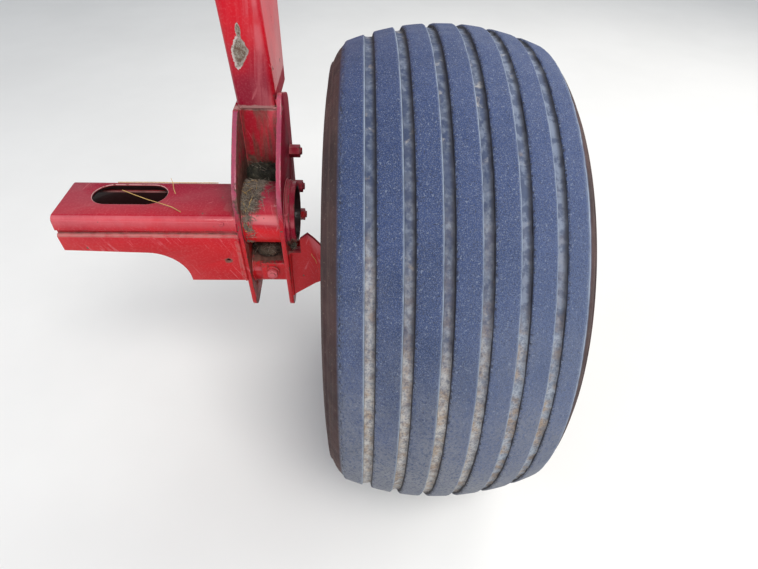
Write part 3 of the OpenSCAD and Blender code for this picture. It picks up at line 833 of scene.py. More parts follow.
@dataclass(frozen=True)
class PlatedSteel:
    """Plated steel with grease and dirt."""

    name: str
    metal: Colour
    grime: Colour = (0.035, 0.026, 0.020)
    polish: float = 0.38

    def build(self) -> Material:
        """Makes the material.

        Returns:
            The metal.
        """
        g = Surface(self.name)
        crevice = g.crevice(0.02)
        grime = g.most(g.times(crevice, 0.9), g.times(g.patches(38, 0.44, 0.68), 0.7))
        colour = g.mix(g.patches(70, 0.35, 0.65), self.metal, tuple(0.7 * c for c in self.metal))
        colour = g.mix(grime, colour, self.grime)
        rough = g.step(grime, 0.0, 0.8, self.polish, 0.8)
        metal = g.step(grime, 0.2, 0.8, 0.9, 0.05)
        return g.done(colour, rough, g.bump(g.grain(520), 0.0002), metal)


@dataclass(frozen=True)
class MattRubber:
    """Matt black moulded rubber, a little dusty."""

    black: Colour = (0.016, 0.015, 0.015)
    dust: Colour = (0.15, 0.12, 0.09)

    def build(self) -> Material:
        """Makes the material.

        Returns:
            The rubber.
        """
        g = Surface("seal_rubber")
        dust = g.times(g.patches(55, 0.45, 0.7), 0.5)
        rough = g.step(dust, 0.0, 0.5, 0.6, 0.9)
        return g.done(g.mix(dust, self.black, self.dust), rough, g.bump(g.grain(600, 2), 0.0001))


@dataclass(frozen=True)
class Litter:
    """Dry farm litter: straw, hay or soil."""

    name: str
    pale: Colour
    dark: Colour
    grain_scale: float = 60.0

    def build(self) -> Material:
        """Makes the material.

        Returns:
            The litter's material.
        """
        g = Surface(self.name)
        tone = g.most(g.carried("tone"), g.times(g.patches(self.grain_scale, 0.36, 0.64), 0.6))
        fine = g.times(g.patches(8 * self.grain_scale, 0.45, 0.65, 2), 0.5)
        colour = g.layered(self.dark, (tone, self.pale), (fine, self.dark))
        rough = g.step(g.grain(200, 2), 0.3, 0.7, 0.75, 0.95)
        return g.done(colour, rough, g.bump(g.grain(480, 4, 0.7), 0.0008))


class Palette:
    """Every finish, made once."""

    def __init__(self) -> None:
        """Builds the materials."""
        self.red = RedPaint().build()
        self.tyre = TyreRubber().build()
        self.rim = DustyPaint("rim_paint", (0.50, 0.485, 0.43), (0.36, 0.34, 0.29)).build()
        self.hub = DustyPaint("hub_paint", (0.030, 0.030, 0.033), (0.018, 0.018, 0.020)).build()
        self.zinc = PlatedSteel("zinc_plate", (0.42, 0.40, 0.35)).build()
        self.seal = MattRubber().build()
        self.straw = Litter("straw", (0.86, 0.58, 0.20), (0.46, 0.27, 0.08), 40).build()
        self.hay = Litter("old_hay", (0.46, 0.40, 0.32), (0.042, 0.036, 0.032), 70).build()
        self.moss = Litter("dead_grass", (0.075, 0.070, 0.045), (0.010, 0.011, 0.008), 70).build()
        self.soil = Litter("soil", (0.16, 0.115, 0.075), (0.030, 0.022, 0.016), 90).build()

    def of(self, slot: Slot) -> Material:
        """The material of one of the record's slots."""
        return {Slot.TYRE: self.tyre, Slot.RIM: self.rim, Slot.HUB: self.hub,
                Slot.ZINC: self.zinc, Slot.SEAL: self.seal, Slot.RED: self.red}[slot]


class Growth(NodeTree):
    """A Geometry Nodes tree with named inputs, baked to a plain mesh."""

    def __init__(self, name: str, **inputs: str) -> None:
        """Starts a tree.

        Args:
            name: The tree's name.
            **inputs: Input name to its socket type, without the NodeSocket prefix.
        """
        super().__init__(bpy.data.node_groups.new(name, "GeometryNodeTree"))
        face = self.tree.interface
        face.new_socket("Geometry", in_out="INPUT", socket_type="NodeSocketGeometry")
        for key, kind in {**inputs, "Finish": "Material"}.items():
            face.new_socket(key, in_out="INPUT", socket_type="NodeSocket" + kind)
        face.new_socket("Geometry", in_out="OUTPUT", socket_type="NodeSocketGeometry")
        self.given = self.tree.nodes.new("NodeGroupInput").outputs
        self.position = self.add("GeometryNodeInputPosition").outputs[0]
        self.normal = self.add("GeometryNodeInputNormal").outputs[0]

    def chance(self, low: Union[Value, Triple], high: Union[Value, Triple], seed: Value,
               kind: str = "FLOAT") -> Socket:
        """A random value for each element.

        Args:
            low: Least value.
            high: Greatest value.
            seed: The fixed seed.
            kind: Data type of the value.

        Returns:
            The value.
        """
        inputs = {"Min": low, "Max": high, "Seed": seed}
        node = self.add("FunctionNodeRandomValue", inputs, data_type=kind)
        return pick(node.outputs, "Value")

    def moved(self, geometry: Socket, offset: Socket) -> Socket:
        """The geometry with each point moved by an offset."""
        inputs = {"Geometry": geometry, "Offset": offset}
        return self.add("GeometryNodeSetPosition", inputs).outputs[0]

    def marked(self, geometry: Socket, name: str, value: Socket, domain: str = "POINT") -> Socket:
        """Stores a number on a geometry's elements.

        Args:
            geometry: The geometry.
            name: The number's name.
            value: The number.
            domain: Whether its points or its instances carry it.

        Returns:
            The geometry that carries it.
        """
        inputs = {"Geometry": geometry, "Name": name, "Value": value}
        node = self.add("GeometryNodeStoreNamedAttribute", inputs, data_type="FLOAT", domain=domain)
        return node.outputs[0]

    def along(self, direction: Socket, length: Socket) -> Socket:
        """A direction scaled by a length."""
        inputs = {0: direction, "Scale": length}
        return self.add("ShaderNodeVectorMath", inputs, operation="SCALE").outputs[0]

    def swept(self, curve: Socket, radius: Value, sides: int) -> Socket:
        """A tube along a curve, with capped ends.

        Args:
            curve: The path.
            radius: Radius of the tube.
            sides: Number of its sides.

        Returns:
            The tube's mesh.
        """
        circle = {"Resolution": sides, "Radius": radius}
        profile = self.add("GeometryNodeCurvePrimitiveCircle", circle).outputs[0]
        inputs = {"Curve": curve, "Profile Curve": profile, "Fill Caps": True}
        return self.add("GeometryNodeCurveToMesh", inputs).outputs[0]

    def close(self, geometry: Socket) -> None:
        """Ends the tree with real instances and the finish.

        Args:
            geometry: What the tree has made.
        """
        real = self.add("GeometryNodeRealizeInstances", {"Geometry": geometry}).outputs[0]
        inputs = {"Geometry": real, "Material": self.given["Finish"]}
        dressed = self.add("GeometryNodeSetMaterial", inputs).outputs[0]
        self.tree.links.new(dressed, self.tree.nodes.new("NodeGroupOutput").inputs[0])

    def grow(self, seed_mesh: Mesh, name: str, **values: object) -> Piece:
        """Runs the tree on a mesh.

        Args:
            seed_mesh: The mesh that the tree starts from.
            name: The new piece's name.
            **values: Value of each named input.

        Returns:
            A plain mesh object.
        """
        source = linked(name + "_source", seed_mesh)
        modifier = source.modifiers.new("growth", "NODES")
        modifier.node_group = self.tree
        names = {item.name: item.identifier for item in self.tree.interface.items_tree
                 if item.item_type == "SOCKET" and item.in_out == "INPUT"}
        for key, value in values.items():
            modifier[names[key]] = value
        return baked(source, name)


def linked(name: str, data: bpy.types.ID) -> Piece:
    """Makes an object and links it to the scene.

    Args:
        name: The object's name.
        data: Its mesh, lamp or camera.

    Returns:
        The object.
    """
    made = bpy.data.objects.new(name, data)
    bpy.context.scene.collection.objects.link(made)
    return made


def baked(source: Piece, name: str) -> Piece:
    """Turns an object with modifiers into a plain one.

    Args:
        source: The object, which is removed.
        name: The new object's name.

    Returns:
        The plain mesh object, at the origin.
    """
    graph = bpy.context.evaluated_depsgraph_get()
    mesh = bpy.data.meshes.new_from_object(
        source.evaluated_get(graph), preserve_all_data_layers=True, depsgraph=graph)
    bpy.data.objects.remove(source, do_unlink=True)
    mesh.name = name
    return linked(name, mesh)


def smoothed(mesh: Mesh, angle: float) -> None:
    """Shades a mesh smooth, apart from edges sharper than an angle in degrees."""
    mesh.shade_smooth()
    mesh.set_sharp_from_angle(angle=math.radians(angle))


def settle(piece: Piece, body: Body, slot: Optional[Slot] = None, *nodes: str) -> None:
    """Makes a piece part of the object and reports it.

    Args:
        piece: The piece, in its place.
        body: The body that it rides on.
        slot: The record's slot of its finish, or None for litter; not used.
        *nodes: CAD nodes that it stands for.
    """
    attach(piece, body.value)
    if nodes:
        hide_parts(*nodes)
    LOG.info("%s: %d faces on %s", piece.name, len(piece.data.polygons), body.value)


def line_mesh(name: str, points: Sequence[Vector], closed: bool = False) -> Mesh:
    """A mesh of one chain of edges.

    Args:
        name: The mesh's name.
        points: The chain's points.
        closed: Whether the last point joins the first.

    Returns:
        The mesh.
    """
    edges = [(i, i + 1) for i in range(len(points) - 1)]
    if closed:
        edges.append((len(points) - 1, 0))
    mesh = bpy.data.meshes.new(name)
    mesh.from_pydata([tuple(p) for p in points], edges, [])
    return mesh


def chain(*points: Triple) -> list[Vector]:
    """Points in millimetres as a chain in metres."""
    return [Vector(p) * MM for p in points]


def ring(centre: Triple, radius: float, count: int = 64) -> list[Vector]:
    """Points on a circle about an axis along Y.

    Args:
        centre: The circle's centre, in millimetres.
        radius: Its radius, in millimetres.
        count: Number of points.

    Returns:
        The points, in metres.
    """
    turns = (math.tau * i / count for i in range(count))
    return chain(*((centre[X] + radius * math.cos(a), centre[Y], centre[Z] + radius * math.sin(a))
                   for a in turns))


@dataclass(frozen=True)
class Run:
    """The path of a weld bead or a straw, in metres, with its radius in millimetres."""

    points: list[Vector]
    radius: float
    closed: bool = False


@dataclass
class Softener:
    """Swaps a plain solid for a copy with rounded, worn edges."""

    palette: Palette
    sharp_angle: float = 32.0
    flat_angle: float = 0.4
    merge_m: float = 2e-6

    def soften(self, node: str, width_mm: float, slot: Slot, body: Body) -> None:
        """Makes the rounded copy of a node and puts it in the node's place.

        Args:
            node: The CAD node.
            width_mm: Width of the rounded edges.
            slot: The slot of its finish.
            body: The body that it rides on.
        """
        shape = bmesh.new()
        shape.from_mesh(frame["nodes"][node].data)
        bmesh.ops.remove_doubles(shape, verts=shape.verts, dist=self.merge_m)
        bmesh.ops.dissolve_limit(shape, angle_limit=math.radians(self.flat_angle),
                                 verts=shape.verts, edges=shape.edges)
        mesh = bpy.data.meshes.new(node + "_soft")
        shape.to_mesh(mesh)
        shape.free()
        mesh.materials.clear()
        # The faces take the first entry and the rounded edges the second
        mesh.materials.append(self.palette.of(slot))
        mesh.materials.append(self.palette.of(slot))
        mesh.shade_smooth()
        source = linked(node + "_soft_source", mesh)
        bevel = source.modifiers.new("round", "BEVEL")
        bevel.width = width_mm * MM
        bevel.segments = 2
        bevel.limit_method = "ANGLE"
        bevel.angle_limit = math.radians(self.sharp_angle)
        bevel.use_clamp_overlap = True
        bevel.harden_normals = True
        bevel.material = 1
        piece = baked(source, node + "_soft")
        self._mark_edges(piece.data)
        settle(piece, body, slot, node)

    @staticmethod
    def _mark_edges(mesh: Mesh) -> None:
        """Writes which faces are rounded edges, and leaves one material.

        Args:
            mesh: The bevelled mesh.
        """
        marks = mesh.attributes.new("worn_edge", "FLOAT", "FACE")
        for face, mark in zip(mesh.polygons, marks.data):
            mark.value = float(face.material_index == 1)
            face.material_index = 0
        mesh.materials.pop(index=1)


class Station(NamedTuple):
    """A point of the tyre's profile, in millimetres, with the marks that its finish reads."""

    radius: float
    width: float
    groove: float = 0.0
    edge: float = 0.0
    side: float = 0.0
    phase: float = 0.0
    across: float = 0.0


MARKS = Station._fields[2:]


@dataclass
class RibbedTyre:
    """The implement tyre, made round the wheel's axis from one profile.

    Moulded rings are given as radius, half width and height. Sizes are in millimetres.
    """

    palette: Palette
    outer_d: float = 786.6
    section_w: float = 342.8
    tread_w: float = 292.0
    crown_r: float = 395.0
    ribs: int = 7
    groove_w: float = 13.7
    groove_floor_w: float = 11.0
    groove_depth: float = 7.0
    tread_wall: float = 17.0
    side_wall: float = 11.0
    bead_d: float = 381.0
    rim_w: float = 254.0
    flange_h: float = 17.5
    edge_round: float = 1.5
    shoulder_round: float = 3.2
    chip: float = 1.6
    wear: float = 0.4
    bar_h: float = 1.9
    mud_h: float = 2.2
    bars: float = 5.0
    steps: int = 400
    moulded: tuple[Triple, ...] = (
        (345, 1.6, -1.2), (334, 3.2, 2.0), (322, 1.4, -1.1), (247, 1.2, 1.0), (232, 4.6, 2.4),
        (221, 1.6, -1.4))

    def crown(self, w: float) -> float:
        """Radius of the tread's crown at a distance from the middle plane."""
        return self.outer_d / 2 - self.crown_r + math.sqrt(self.crown_r ** 2 - w * w)

    def rib(self, left: float, right: float, r0: float, r1: float) -> list[Station]:
        """One rib of the tread, with its rounded edges.

        Args:
            left: Its inboard side.
            right: Its outboard side.
            r0: Rounding of its inboard edge.
            r1: Rounding of its outboard edge.

        Returns:
            The stations, inboard to outboard.
        """
        foot0, foot1 = (0.06 if r == self.edge_round else 0.0 for r in (r0, r1))
        out = [Station(self.crown(left) - r0, left, foot0, 0.6, across=-1),
               Station(self.crown(left) - 0.3 * r0, left + 0.3 * r0, edge=1.0, across=-1),
               Station(self.crown(left + r0), left + r0, edge=0.5, across=-1),
               Station(self.crown(left + 2.4 * r0), left + 2.4 * r0, across=-1)]
        for w in (left + (right - left) * t for t in (0.26, 0.5, 0.74)):
            out.append(Station(self.crown(w), w))
        return out + [Station(self.crown(right - 2 * r1), right - 2 * r1, across=1),
                      Station(self.crown(right - r1), right - r1, edge=0.25, across=1),
                      Station(self.crown(right) - 0.3 * r1, right - 0.3 * r1, edge=1.0, across=1),
                      Station(self.crown(right) - r1, right, foot1, 0.9, across=1)]

    def tread(self) -> list[Station]:
        """The ribs and the grooves between them.

        Returns:
            The stations, inboard to outboard.
        """
        rib_w = (self.tread_w - (self.ribs - 1) * self.groove_w) / self.ribs
        out = []
        for i in range(self.ribs):
            left = -self.tread_w / 2 + i * (rib_w + self.groove_w)
            right = left + rib_w
            first, last = i == 0, i == self.ribs - 1
            out += self.rib(left, right, self.shoulder_round if first else self.edge_round,
                            self.shoulder_round if last else self.edge_round)
            if last:
                break
            mid = right + self.groove_w / 2
            for side, lift in ((-1, 0.5), (-0.6, 0.1), (0, 0), (0.6, 0.1), (1, 0.5)):
                out.append(Station(self.crown(mid) - self.groove_depth + lift,
                                   mid + side * self.groove_floor_w / 2, groove=1.0,
                                   phase=(0.37 * i) % 1.0, across=side))
        return out

    def side_points(self, wall: float, a0: float, a1: float, count: int) -> list[Station]:
        """Stations down one sidewall.

        Args:
            wall: Depth below the outer surface.
            a0: First angle, in degrees.
            a1: Last angle, in degrees.
            count: Number of steps.

        Returns:
            The stations on the outboard side.
        """
        bead_r, tyre_r = self.bead_d / 2, self.outer_d / 2
        mid = bead_r + 0.47 * (tyre_r - bead_r)
        half = 0.385 * (tyre_r - bead_r)
        base = self.tread_w / 2 - 10
        angles = [a0 + (a1 - a0) * i / count for i in range(count + 1)]
        if wall == 0:
            extra = [at + k * width for at, width, _ in self.moulded for k in (-1, -0.6, 0, 0.6, 1)]
            angles += [math.degrees(math.asin((r - mid) / half)) for r in extra]
        return [Station(mid + (half - wall * 0.4) * math.sin(a),
                        base + (self.section_w / 2 - base) * math.cos(a) - wall, side=1.0)
                for a in (math.radians(a) for a in sorted(angles, reverse=True))]

    def outer_side(self) -> list[Station]:
        """The outboard sidewall from the shoulder to the bead, with its moulded rings.

        Returns:
            The stations.
        """
        out = []
        for spot in self.side_points(0, 68, -72, 20):
            ridge = sum(rise * max(0.0, 1 - ((spot.radius - at) / half) ** 4)
                        for at, half, rise in self.moulded)
            out.append(spot._replace(width=min(spot.width + ridge, self.section_w / 2)))
        bead_r, bead_w = self.bead_d / 2, self.rim_w / 2 - 0.2
        return out + [Station(bead_r + self.flange_h + 2, bead_w + 8, side=1),
                      Station(bead_r + self.flange_h + 1, bead_w - 1, side=1),
                      Station(bead_r + 4, bead_w, side=1),
                      Station(bead_r + 0.2, bead_w - 4, side=1)]

    def stations(self) -> list[Station]:
        """The whole closed profile.

        Returns:
            The stations, all round.
        """
        bead_r, bead_w = self.bead_d / 2, self.rim_w / 2 - 0.2
        half = self.outer_side()
        half += [Station(bead_r + 0.2, bead_w - 22, side=1),
                 Station(bead_r + 14, bead_w - 18, side=1)]
        half += reversed(self.side_points(self.side_wall, 56, -60, 10))
        inside = self.groove_depth + self.tread_wall
        for k in (1, 2, 3):
            w = self.tread_w / 2 * (1 - k / 3) * 0.86
            half.append(Station(self.crown(w) - inside, w, side=1))
        back = [spot._replace(width=-spot.width) for spot in reversed(half[:-1])]
        return self.tread() + half + back

    def profile_mesh(self, stations: Sequence[Station]) -> Mesh:
        """A mesh of the profile's points that carries their marks.

        Args:
            stations: The profile's stations.

        Returns:
            The mesh, with radius as x and width as y, in metres.
        """
        points = chain(*((spot.radius, spot.width, 0) for spot in stations))
        mesh = line_mesh("tyre_profile", points, True)
        for name in MARKS:
            layer = mesh.attributes.new(name, "FLOAT", "POINT")
            for mark, station in zip(layer.data, stations):
                mark.value = getattr(station, name)
        return mesh

    def tree(self) -> Growth:
        """The tree that turns the profile round the wheel's axis, wears it and dirties it.

        Returns:
            The tree.
        """
        g = Growth("ribbed_tyre", Steps="Int", Stations="Int", Chip="Float", Wear="Float",
                   BarHeight="Float", MudHeight="Float", Bars="Float", Centre="Vector")
        rows = g.plus(g.given["Stations"], 1)
        inputs = {"Size X": 1.0, "Size Y": 1.0, "Vertices X": g.plus(g.given["Steps"], 1),
                  "Vertices Y": rows}
        grid = g.add("GeometryNodeMeshGrid", inputs).outputs[0]
        index = g.add("GeometryNodeInputIndex").outputs[0]
        column = g.maths("FLOOR", g.maths("DIVIDE", g.plus(index, 0.5), rows))
        row = g.maths("FLOORED_MODULO", g.minus(index, g.times(column, rows)), g.given["Stations"])
        turn = g.maths("DIVIDE", column, g.given["Steps"])
        angle = g.times(turn, math.tau)

        def sampled(value: Socket, kind: str) -> Socket:
            """The profile's value at this row."""
            inputs = {"Geometry": g.given["Geometry"], "Value": value, "Index": row}
            return pick(g.add("GeometryNodeSampleIndex", inputs, data_type=kind).outputs, "Value")

        marks = {}
        for name in MARKS:
            carried = g.add("GeometryNodeInputNamedAttribute", {"Name": name}, data_type="FLOAT")
            marks[name] = sampled(pick(carried.outputs, "Attribute"), "FLOAT")
        spot = g.parts(sampled(g.position, "FLOAT_VECTOR"))
        direction = g.vector(g.maths("COSINE", angle), 0.0, g.maths("SINE", angle))
        middle = g.vectors("ADD", g.given["Centre"], g.vector(y=spot[1]))

        def placed(radius: Socket) -> Socket:
            """The place at a radius and this row's width."""
            return g.vectors("ADD", g.along(direction, radius), middle)

        plain = placed(spot[0])
        torn = g.times(g.step(g.noise(plain, 300, 2), 0.50, 0.62),
                       g.step(marks["across"], 0.2, -0.8))
        torn = g.most(g.step(g.noise(plain, 85), 0.5, 0.66), torn)
        nick = g.times(torn, marks["edge"], g.given["Chip"])
        wear = g.times(g.step(g.noise(plain, 22), 0.3, 0.7), g.minus(1.0, marks["side"]),
                       g.given["Wear"])
        around = g.maths("FRACT", g.plus(g.times(turn, g.given["Bars"]), marks["phase"]))
        gap = g.unsigned(g.minus(around, 0.5))
        bar = g.times(g.step(gap, 0.030, 0.018), marks["groove"], g.given["BarHeight"])
        mud = g.times(g.step(g.noise(plain, 48, 4), 0.42, 0.68), marks["groove"],
                      g.given["MudHeight"])
        radius = g.minus(g.minus(g.plus(spot[0], g.most(bar, mud)), nick), wear)
        inputs = {"Geometry": grid, "Position": placed(radius)}
        body = g.add("GeometryNodeSetPosition", inputs).outputs[0]
        for name in ("groove", "edge", "side", "across"):
            body = g.marked(body, name, marks[name])
        inputs = {"Geometry": body, "Distance": 1e-6}
        g.close(g.add("GeometryNodeMergeByDistance", inputs).outputs[0])
        return g

    def build(self) -> None:
        """Makes the tyre and puts it in the plain solid's place."""
        stations = self.stations()
        piece = self.tree().grow(
            self.profile_mesh(stations), "tyre_ribbed", Steps=self.steps, Stations=len(stations),
            Chip=self.chip * MM, Wear=self.wear * MM, BarHeight=self.bar_h * MM,
            MudHeight=self.mud_h * MM, Bars=self.bars, Centre=tuple(WHEEL_CENTRE),
            Finish=self.palette.tyre)
        shape = bmesh.new()
        shape.from_mesh(piece.data)
        bmesh.ops.recalc_face_normals(shape, faces=shape.faces)
        shape.to_mesh(piece.data)
        shape.free()
        smoothed(piece.data, 52)
        settle(piece, Body.WHEEL, Slot.TYRE, "tyre")


@dataclass
class Runs:
    """Weld beads along joints, or long straws, laid as one piece; sizes in millimetres."""

    spacing: float = 1.6
    ripple: float = 0.7

    def tree(self) -> Growth:
        """The tree that lays a rippled bead along a chain of edges.

        Returns:
            The tree.
        """
        g = Growth("weld_bead", Radius="Float", Ripple="Float")
        path = g.add("GeometryNodeMeshToCurve", {"Mesh": g.given["Geometry"]}).outputs[0]
        inputs = {"Curve": path, "Length": self.spacing * MM}
        path = g.add("GeometryNodeResampleCurve", inputs, mode="LENGTH").outputs[0]
        bead = g.swept(path, g.given["Radius"], 8)
        lumps = g.swing(g.noise(g.position, 420, 2), g.given["Ripple"])
        wander = g.swing(g.noise(g.position, 60, 2), g.given["Ripple"])
        g.close(g.moved(bead, g.along(g.normal, g.plus(lumps, wander))))
        return g

    def build(self, name: str, runs: dict[str, Run], body: Body, finish: Material,
              slot: Optional[Slot] = None) -> None:
        """Lays all runs of one kind as one piece.

        Args:
            name: The piece's name.
            runs: Name of each run to its path.
            body: The body that they ride on.
            finish: Their finish.
            slot: The record's slot of the finish, or None for litter.
        """
        tree = self.tree()
        shape = bmesh.new()
        for key, run in runs.items():
            bead = tree.grow(line_mesh(key, run.points, run.closed), key, Radius=run.radius * MM,
                             Ripple=run.radius * self.ripple * MM, Finish=finish)
            shape.from_mesh(bead.data)
            bpy.data.objects.remove(bead, do_unlink=True)
        mesh = bpy.data.meshes.new(name)
        shape.to_mesh(mesh)
        shape.free()
        mesh.materials.append(finish)
        smoothed(mesh, 75)
        settle(linked(name, mesh), body, slot)


class StrawLitter:
    """The trees and the meshes of the straw and hay that has caught on the axle end."""

    @staticmethod
    def straw_tree() -> Growth:
        """The tree that scatters bent stalks over a patch of surface.

        Returns:
            The tree.
        """
        g = Growth("straw_scatter", Count="Float", Length="Float", Thick="Float", Seed="Int",
                   Lift="Float")
        seed = g.given["Seed"]
        spread = g.add("GeometryNodeDistributePointsOnFaces",
                       {"Mesh": g.given["Geometry"], "Density": g.given["Count"], "Seed": seed})
        half = g.times(g.given["Length"], 0.5)
        ends = {"Start": g.vector(g.times(half, -1.0)), "End": g.vector(half)}
        stalk = g.add("GeometryNodeCurvePrimitiveLine", ends).outputs[0]
        stalk = g.add("GeometryNodeResampleCurve", {"Curve": stalk, "Count": 4}).outputs[0]
        stalk = g.swept(stalk, g.given["Thick"], 3)
        inputs = {"Points": spread.outputs["Points"], "Rotation": spread.outputs["Rotation"],
                  "Instance": stalk, "Scale": g.chance(0.35, 1.25, seed)}
        many = g.add("GeometryNodeInstanceOnPoints", inputs).outputs[0]
        turn = g.chance((-0.35, -0.35, 0.0), (0.35, 0.35, 6.283), seed, "FLOAT_VECTOR")
        inputs = {"Instances": many, "Rotation": turn, "Local Space": True}
        many = g.add("GeometryNodeRotateInstances", inputs).outputs[0]
        many = g.marked(many, "tone", g.chance(0.0, 1.0, 17), "INSTANCE")
        lift = g.vector(z=g.chance(0.0, g.given["Lift"], 3))
        inputs = {"Instances": many, "Translation": lift, "Local Space": False}
        many = g.add("GeometryNodeTranslateInstances", inputs).outputs[0]
        real = g.add("GeometryNodeRealizeInstances", {"Geometry": many}).outputs[0]
        inputs = {"Vector": g.position, "Scale": 34.0, "Detail": 1.0}
        bend = g.add("ShaderNodeTexNoise", inputs).outputs["Color"]
        bend = g.vectors("SUBTRACT", bend, (0.5, 0.5, 0.5))
        g.close(g.moved(real, g.along(bend, g.times(g.given["Length"], 0.4))))
        return g

    @staticmethod
    def heap_tree() -> Growth:
        """The tree that makes a smooth lump ragged.

        Returns:
            The tree.
        """
        g = Growth("ragged_heap", Rough="Float")
        uneven = g.plus(g.swing(g.noise(g.position, 70)), g.swing(g.noise(g.position, 260), 0.45))
        push = g.times(uneven, g.given["Rough"])
        g.close(g.moved(g.given["Geometry"], g.along(g.normal, push)))
        return g

    @staticmethod
    def lump(centre: Triple, half: Triple) -> Mesh:
        """An ellipsoid.

        Args:
            centre: Its centre, in millimetres in the row frame.
            half: Its half sizes, in millimetres.

        Returns:
            The mesh.
        """
        shape = bmesh.new()
        bmesh.ops.create_icosphere(shape, subdivisions=5, radius=1.0)
        for vert in shape.verts:
            vert.co = Vector(c + h * v for c, h, v in zip(centre, half, vert.co)) * MM
        mesh = bpy.data.meshes.new("lump")
        shape.to_mesh(mesh)
        shape.free()
        return mesh

    @staticmethod
    def tube_patch(radius: float, y0: float, widths: Iterable[tuple[float, float]]) -> Mesh:
        """A patch of the cross tube's surface beside the inner plate.

        Args:
            radius: Its radius about the tube's axis, in millimetres.
            y0: Its inboard edge, in millimetres.
            widths: Angle from +X towards +Z, in degrees, and the patch's width there.

        Returns:
            The mesh, facing outwards.
        """
        rows = []
        for degrees, width in widths:
            a = math.radians(degrees)
            x, z = radius * math.cos(a), AT.tube_z + radius * math.sin(a)
            rows.append(chain((x, y0, z), (x, y0 + width, z)))
        mesh = bpy.data.meshes.new("tube_patch")
        faces = [(2 * i, 2 * i + 2, 2 * i + 3, 2 * i + 1) for i in range(len(rows) - 1)]
        mesh.from_pydata([tuple(p) for row in rows for p in row], [], faces)
        return mesh


@dataclass(frozen=True)
class Heap:
    """A ragged heap with stalks on it, in millimetres, with stalks per square metre."""

    name: str
    centre: Triple
    half: Triple
    rough: float
    finish: Material
    density: float
    stalk: Material
    seed: int
    stalk_length: float = 13.0


@dataclass(frozen=True)
class Mat:
    """A layer of stalks on the cross tube, in millimetres, with stalks per square metre."""

    name: str
    spread: float
    density: float
    length: float
    lift: float
    seed: int
    finish: Material


